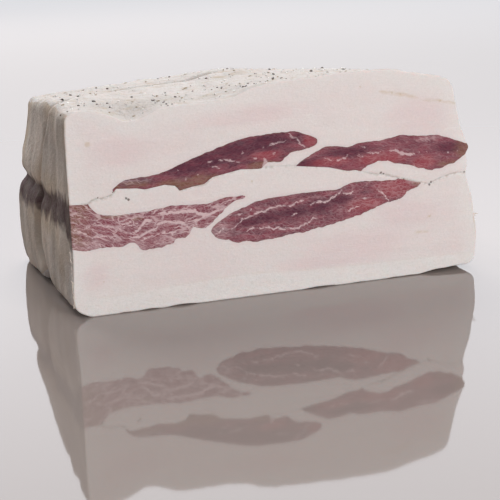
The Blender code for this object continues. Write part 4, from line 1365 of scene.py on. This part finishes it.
class LARDO_OT_slabs(bpy.types.Operator):
    """The two fat slabs and the four lean muscles that run through them"""
    bl_idname = "lardo.slabs"
    bl_label = "Fat slabs and lean"

    def execute(self, context):
        sizes, colours = context.scene.lardo_sizes, context.scene.lardo_colours
        cut_look, skin_look = fat_material(colours), skin_material(colours)
        edge = [step * sizes.cut_edge for step in EDGE_STEPS]
        across = even(-LENGTH / 2, LENGTH / 2, sizes.cell, edge)
        through = even(FRONT_Y, -FRONT_Y, sizes.cell * DEEPER, edge)
        slabs, outlines = {}, {}
        for name, side in (("upper_fat", 1), ("lower_fat", -1)):
            tall = slab_height(side)
            upward = np.array(even(0, tall, sizes.cell, edge)) / tall
            slabs[side] = slab_shape(name + "_cut", (across, through, upward), side, sizes)

        for number, (name, shape) in enumerate(MUSCLES.items()):
            side = shape["side"]
            at_end = name == "lean_lower_left"  # the only one whose end the dried skin covers
            outlines[name] = outline = ragged(shape["outline"], sizes.ragged, 10.0 * number)
            bar = prism(name + "_bar", outline, shape)
            step = sizes.cell * DEEPER if at_end else DEEP_STEP
            places = muscle_places(outline, shape, sizes, edge, step)
            muscle = slab_shape(name + "_cut", places, side, sizes)
            cut(muscle, "INTERSECT", bar)
            cut(slabs[side], "DIFFERENCE", bar)
            bpy.data.objects.remove(bar)
            muscle.data.materials.clear()
            muscle.data.materials.append(lean_material(name, colours))
            if at_end:
                muscle.data.materials.append(skin_look)
                mark_skin(muscle, side)
                add_outside_values(muscle, get_points(muscle), side)
            add_lean_values(muscle, name, shape, outline)
            finish_piece(muscle, name)

        for name, side in (("upper_fat", 1), ("lower_fat", -1)):
            slab = slabs[side]
            slab.data.materials.clear()
            for look in (cut_look, skin_look):
                slab.data.materials.append(look)
            mark_skin(slab, side)
            add_fat_values(slab, side, outlines)
            finish_piece(slab, name)
        return {"FINISHED"}


# Coarse flecks, at the places that the solids have them: widths and least distances in mm
FLECK_COUNT, FLECK_TRIES = 64, 6000
FLECK_SIZE = (1.5, 2.4)
FLECK_SPACING = 11.0
FLECK_FROM_LEFT, FLECK_FROM_RIGHT, FLECK_FROM_CUT = 7.0, 22.0, 5.0
FLECK_SEED = 11
PEPPER_EVERY = 4  # one coarse fleck in so many is pepper, and the others are herb

# Grains strewn all over the top: how many, seed, least and greatest width
FINE_PEPPER = (60, 21, 0.4, 0.9)
FINE_HERB = (24, 22, 1.0, 2.4)
SALT_GRAINS = (46, 23, 0.5, 1.0)
CRUMBS = (240, 24, 0.6, 1.7)
STREWN_FROM_LEFT, STREWN_FROM_RIGHT, STREWN_FROM_CUT = 3.0, 12.0, 1.0

# Each kind of grain on the top: how far up it sits in widths, how much it tilts, what it is made
# from, its shape, how uneven it is, material, roughness and slot
GRAINS = {
    "cracked_pepper": (0.08, 0.4, "ICO", (1.0, 0.75, 0.55), 0.22, "cracked_pepper", 0.7, "spice"),
    "dried_herb": (0.05, 0.25, "ICO", (1.0, 0.42, 0.3), 0.25, "dried_herb", 0.75, "spice"),
    "curing_salt": (0.3, 0.6, "CUBE", (1.0, 0.9, 0.75), 0.12, "curing_salt", 0.3, "salt"),
    "fat_crumbs": (0.12, 0.5, "ICO", (1.0, 0.8, 0.6), 0.25, "crumbled_fat", 0.6, "cured_fat"),
}
UNEVEN_SEED = 30  # the kinds are numbered on from it

# Torn fibres on the lower left edge and at the right end: heights, leans and lengths
FIBRE_COUNT, FIBRE_SHARE_LEFT, FIBRE_SEED = 46, 0.8, 25
FIBRES_LEFT = ((5, 34), (0.9, 2.0), (1.4, 3.2))
FIBRES_RIGHT = ((26, 30), (-0.3, 0.5), (3.5, 7.0))
FIBRES_OUT, FIBRES_IN = 0.1, 0.4  # how far they stand off the left end and sit in the right one
FIBRE_SHAPE, FIBRE_UNEVEN = (1.0, 0.12, 0.1), 0.2

# Where pepper lies close together: the middle (x, y), half the width of the patch, and how many
PEPPER_PATCHES = ((-105, -53, 2, 2), (-88, -33, 8, 6), (-74, 30, 4, 2), (-86, 11, 1, 1),
                  (-55, -38, 7, 7), (-56, -57, 3, 3), (-27, 39, 8, 2), (-35, -20, 10, 5),
                  (-22, -31, 5, 5), (-11, -46, 5, 7), (5, -45, 5, 4), (7, 36, 1, 1), (7, -3, 1, 1))
PATCH_PEPPER = (26, 0.9, 1.7)  # seed, least and greatest width


def coarse_flecks():
    """Place, width and turn of each coarse fleck, drawn as the solids draw them."""
    draw = random.Random(FLECK_SEED)
    spots = []
    for _ in range(FLECK_TRIES):
        x = draw.uniform(-LENGTH / 2 + FLECK_FROM_LEFT, LENGTH / 2 - FLECK_FROM_RIGHT)
        y = draw.uniform(FRONT_Y + FLECK_FROM_CUT, -FRONT_Y - FLECK_FROM_CUT)
        if all(math.hypot(x - a, y - b) > FLECK_SPACING for a, b in spots):
            spots.append((x, y))
        if len(spots) == FLECK_COUNT:
            break
    return [(x, y, draw.uniform(*FLECK_SIZE), draw.uniform(0, math.tau)) for x, y in spots]


def scattered(count, seed, low, high):
    """More places on the top, each with a width and a turn."""
    draw = random.Random(seed)
    left, right = -LENGTH / 2 + STREWN_FROM_LEFT, LENGTH / 2 - STREWN_FROM_RIGHT
    front, back = FRONT_Y + STREWN_FROM_CUT, -FRONT_Y - STREWN_FROM_CUT
    return [(draw.uniform(left, right), draw.uniform(front, back), draw.uniform(low, high),
             draw.uniform(0, math.tau)) for _ in range(count)]


def patches(spots, seed, low, high):
    """Places drawn close together round the middle of each patch, each with a width and a turn."""
    draw = random.Random(seed)
    return [(draw.uniform(x - half, x + half), draw.uniform(y - half, y + half),
             draw.uniform(low, high), draw.uniform(0, math.tau))
            for x, y, half, count in spots for _ in range(count)]


def rough_grains(name, grains, kind, shape, wander, seed):
    """One piece of many rough grains: each is its middle in mm, a width and a turn."""
    deselect()
    for number, (middle, width, turn) in enumerate(grains):
        half = Vector(shape) * (width / 2 * MM)
        where = (Vector(middle) - Vector((MIDDLE_X, 0, 0))) * MM
        if kind == "CUBE":
            bpy.ops.mesh.primitive_cube_add(size=2.0, location=where, rotation=turn, scale=half)
        else:
            bpy.ops.mesh.primitive_ico_sphere_add(
                subdivisions=1, radius=1.0, location=where, rotation=turn, scale=half)
        if number == 0:  # the others are then added to its mesh, in edit mode
            piece = bpy.context.object
            piece.name = piece.data.name = name
            bpy.ops.object.transform_apply(location=True, rotation=True, scale=True)
            bpy.ops.object.mode_set(mode="EDIT")
    bpy.ops.object.mode_set(mode="OBJECT")
    points = get_points(piece)
    corners = 8 if kind == "CUBE" else 12  # of one grain
    centre = points.reshape(-1, corners, 3).mean(axis=1).repeat(corners, axis=0)
    push = 1 + wander * np.random.default_rng(seed).uniform(-1, 1, len(points))[:, None]
    set_points(piece, centre + (points - centre) * push)
    return piece


def on_top(tree, spots, sunk, tilt, seed):
    """The spots (x, y, width, turn) dropped onto the cured top, tilted a little at random."""
    draw = random.Random(seed)
    grains = []
    for x, y, width, turn in spots:
        above = Vector(((x - MIDDLE_X) * MM, y * MM, 2 * HEIGHT * MM))
        hit = tree.ray_cast(above, Vector((0, 0, -1)))[0]
        if hit is None:
            continue
        lean_over = (draw.uniform(-tilt, tilt), draw.uniform(-tilt, tilt), turn)
        grains.append(((x, y, hit.z / MM + sunk * width), width, lean_over))
    return grains


def lay_grains(context, name, spots, code):
    """One piece of loose grains of a kind, strewn on the cured top."""
    up, tilt, kind, shape, wander, material, roughness, slot = GRAINS[name]
    number = list(GRAINS).index(name) + 1
    top = next(piece for piece in bpy.data.objects if piece.name == "upper_fat_cut")
    tree = bvhtree.BVHTree.FromObject(top, context.evaluated_depsgraph_get())
    grains = on_top(tree, spots, up, tilt, number)
    piece = rough_grains(name, grains, kind, shape, wander, UNEVEN_SEED + number)
    piece.data.materials.append(dull_material(material, code, roughness))
    finish_piece(piece, None)


class LARDO_OT_spice(bpy.types.Operator):
    """Pepper, dried herb and salt lying on the cured top"""
    bl_idname = "lardo.spice"
    bl_label = "Pepper, herb and salt"

    def execute(self, context):
        colours = context.scene.lardo_colours
        coarse = coarse_flecks()
        pepper = (coarse[::PEPPER_EVERY] + scattered(*FINE_PEPPER)
                  + patches(PEPPER_PATCHES, *PATCH_PEPPER))
        herb = [fleck for k, fleck in enumerate(coarse) if k % PEPPER_EVERY]
        # Cracked husks are dark and dull, dry leaves are tan splinters, and the salt's coarse
        # crystals glint
        lay_grains(context, "cracked_pepper", pepper, colours.pepper)
        lay_grains(context, "dried_herb", herb + scattered(*FINE_HERB), colours.herb)
        lay_grains(context, "curing_salt", scattered(*SALT_GRAINS), colours.salt)
        return {"FINISHED"}


class LARDO_OT_crumbs(bpy.types.Operator):
    """Crumbs of fat on the top and torn fibres along the lower left edge and the right end"""
    bl_idname = "lardo.crumbs"
    bl_label = "Fat crumbs and fibres"

    def execute(self, context):
        colours = context.scene.lardo_colours
        # Rubbed-off fat is as pale as the top, so that it shows only by its shadows
        lay_grains(context, "fat_crumbs", scattered(*CRUMBS), colours.skin)

        draw = random.Random(FIBRE_SEED)
        fibres = []
        for number in range(FIBRE_COUNT):
            at_left = number < FIBRE_COUNT * FIBRE_SHARE_LEFT
            heights, leans, lengths = FIBRES_LEFT if at_left else FIBRES_RIGHT
            z = draw.uniform(*heights)
            x = (LEFT_FRONT[0][1] + FIBRES_OUT if at_left
                 else float(right_end(FRONT_Y, z)) - FIBRES_IN)
            upright = draw.uniform(*leans)
            turn = (draw.uniform(-0.5, 0.5), upright, draw.uniform(-0.4, 0.4))
            y = FRONT_Y + draw.uniform(0.1, 1.6)
            fibres.append(((x, y, z), draw.uniform(*lengths), turn))
        seed = UNEVEN_SEED + len(GRAINS) + 1
        piece = rough_grains("torn_fibres", fibres, "ICO", FIBRE_SHAPE, FIBRE_UNEVEN, seed)
        # Dried threads of fat have the ends' colour and a faint gloss
        piece.data.materials.append(dull_material("torn_fibres", colours.end_skin, 0.5))
        finish_piece(piece, None)
        return {"FINISHED"}


class LARDO_PT_panel(bpy.types.Panel):
    """Lists the steps, sizes and colours"""
    bl_idname = "LARDO_PT_panel"
    bl_label = "Cured back fat block"
    bl_space_type = "VIEW_3D"
    bl_region_type = "UI"
    bl_category = "Lardo"

    def draw(self, context):
        for step in STEPS:
            self.layout.operator(step.bl_idname)
        for group in (context.scene.lardo_sizes, context.scene.lardo_colours):
            for key in group.__annotations__:
                self.layout.prop(group, key)


STEPS = (LARDO_OT_stage, LARDO_OT_slabs, LARDO_OT_spice, LARDO_OT_crumbs)
CLASSES = (LardoSizes, LardoColours, *STEPS, LARDO_PT_panel)


def register():
    for made in CLASSES:
        bpy.utils.register_class(made)
    bpy.types.Scene.lardo_sizes = PointerProperty(type=LardoSizes)
    bpy.types.Scene.lardo_colours = PointerProperty(type=LardoColours)


def unregister():
    del bpy.types.Scene.lardo_sizes
    del bpy.types.Scene.lardo_colours
    for made in reversed(CLASSES):
        bpy.utils.unregister_class(made)


def main():
    register()
    bpy.ops.lardo.stage()
    bpy.ops.lardo.slabs()
    bpy.ops.lardo.spice()
    bpy.ops.lardo.crumbs()


if __name__ == "__main__":
    main()
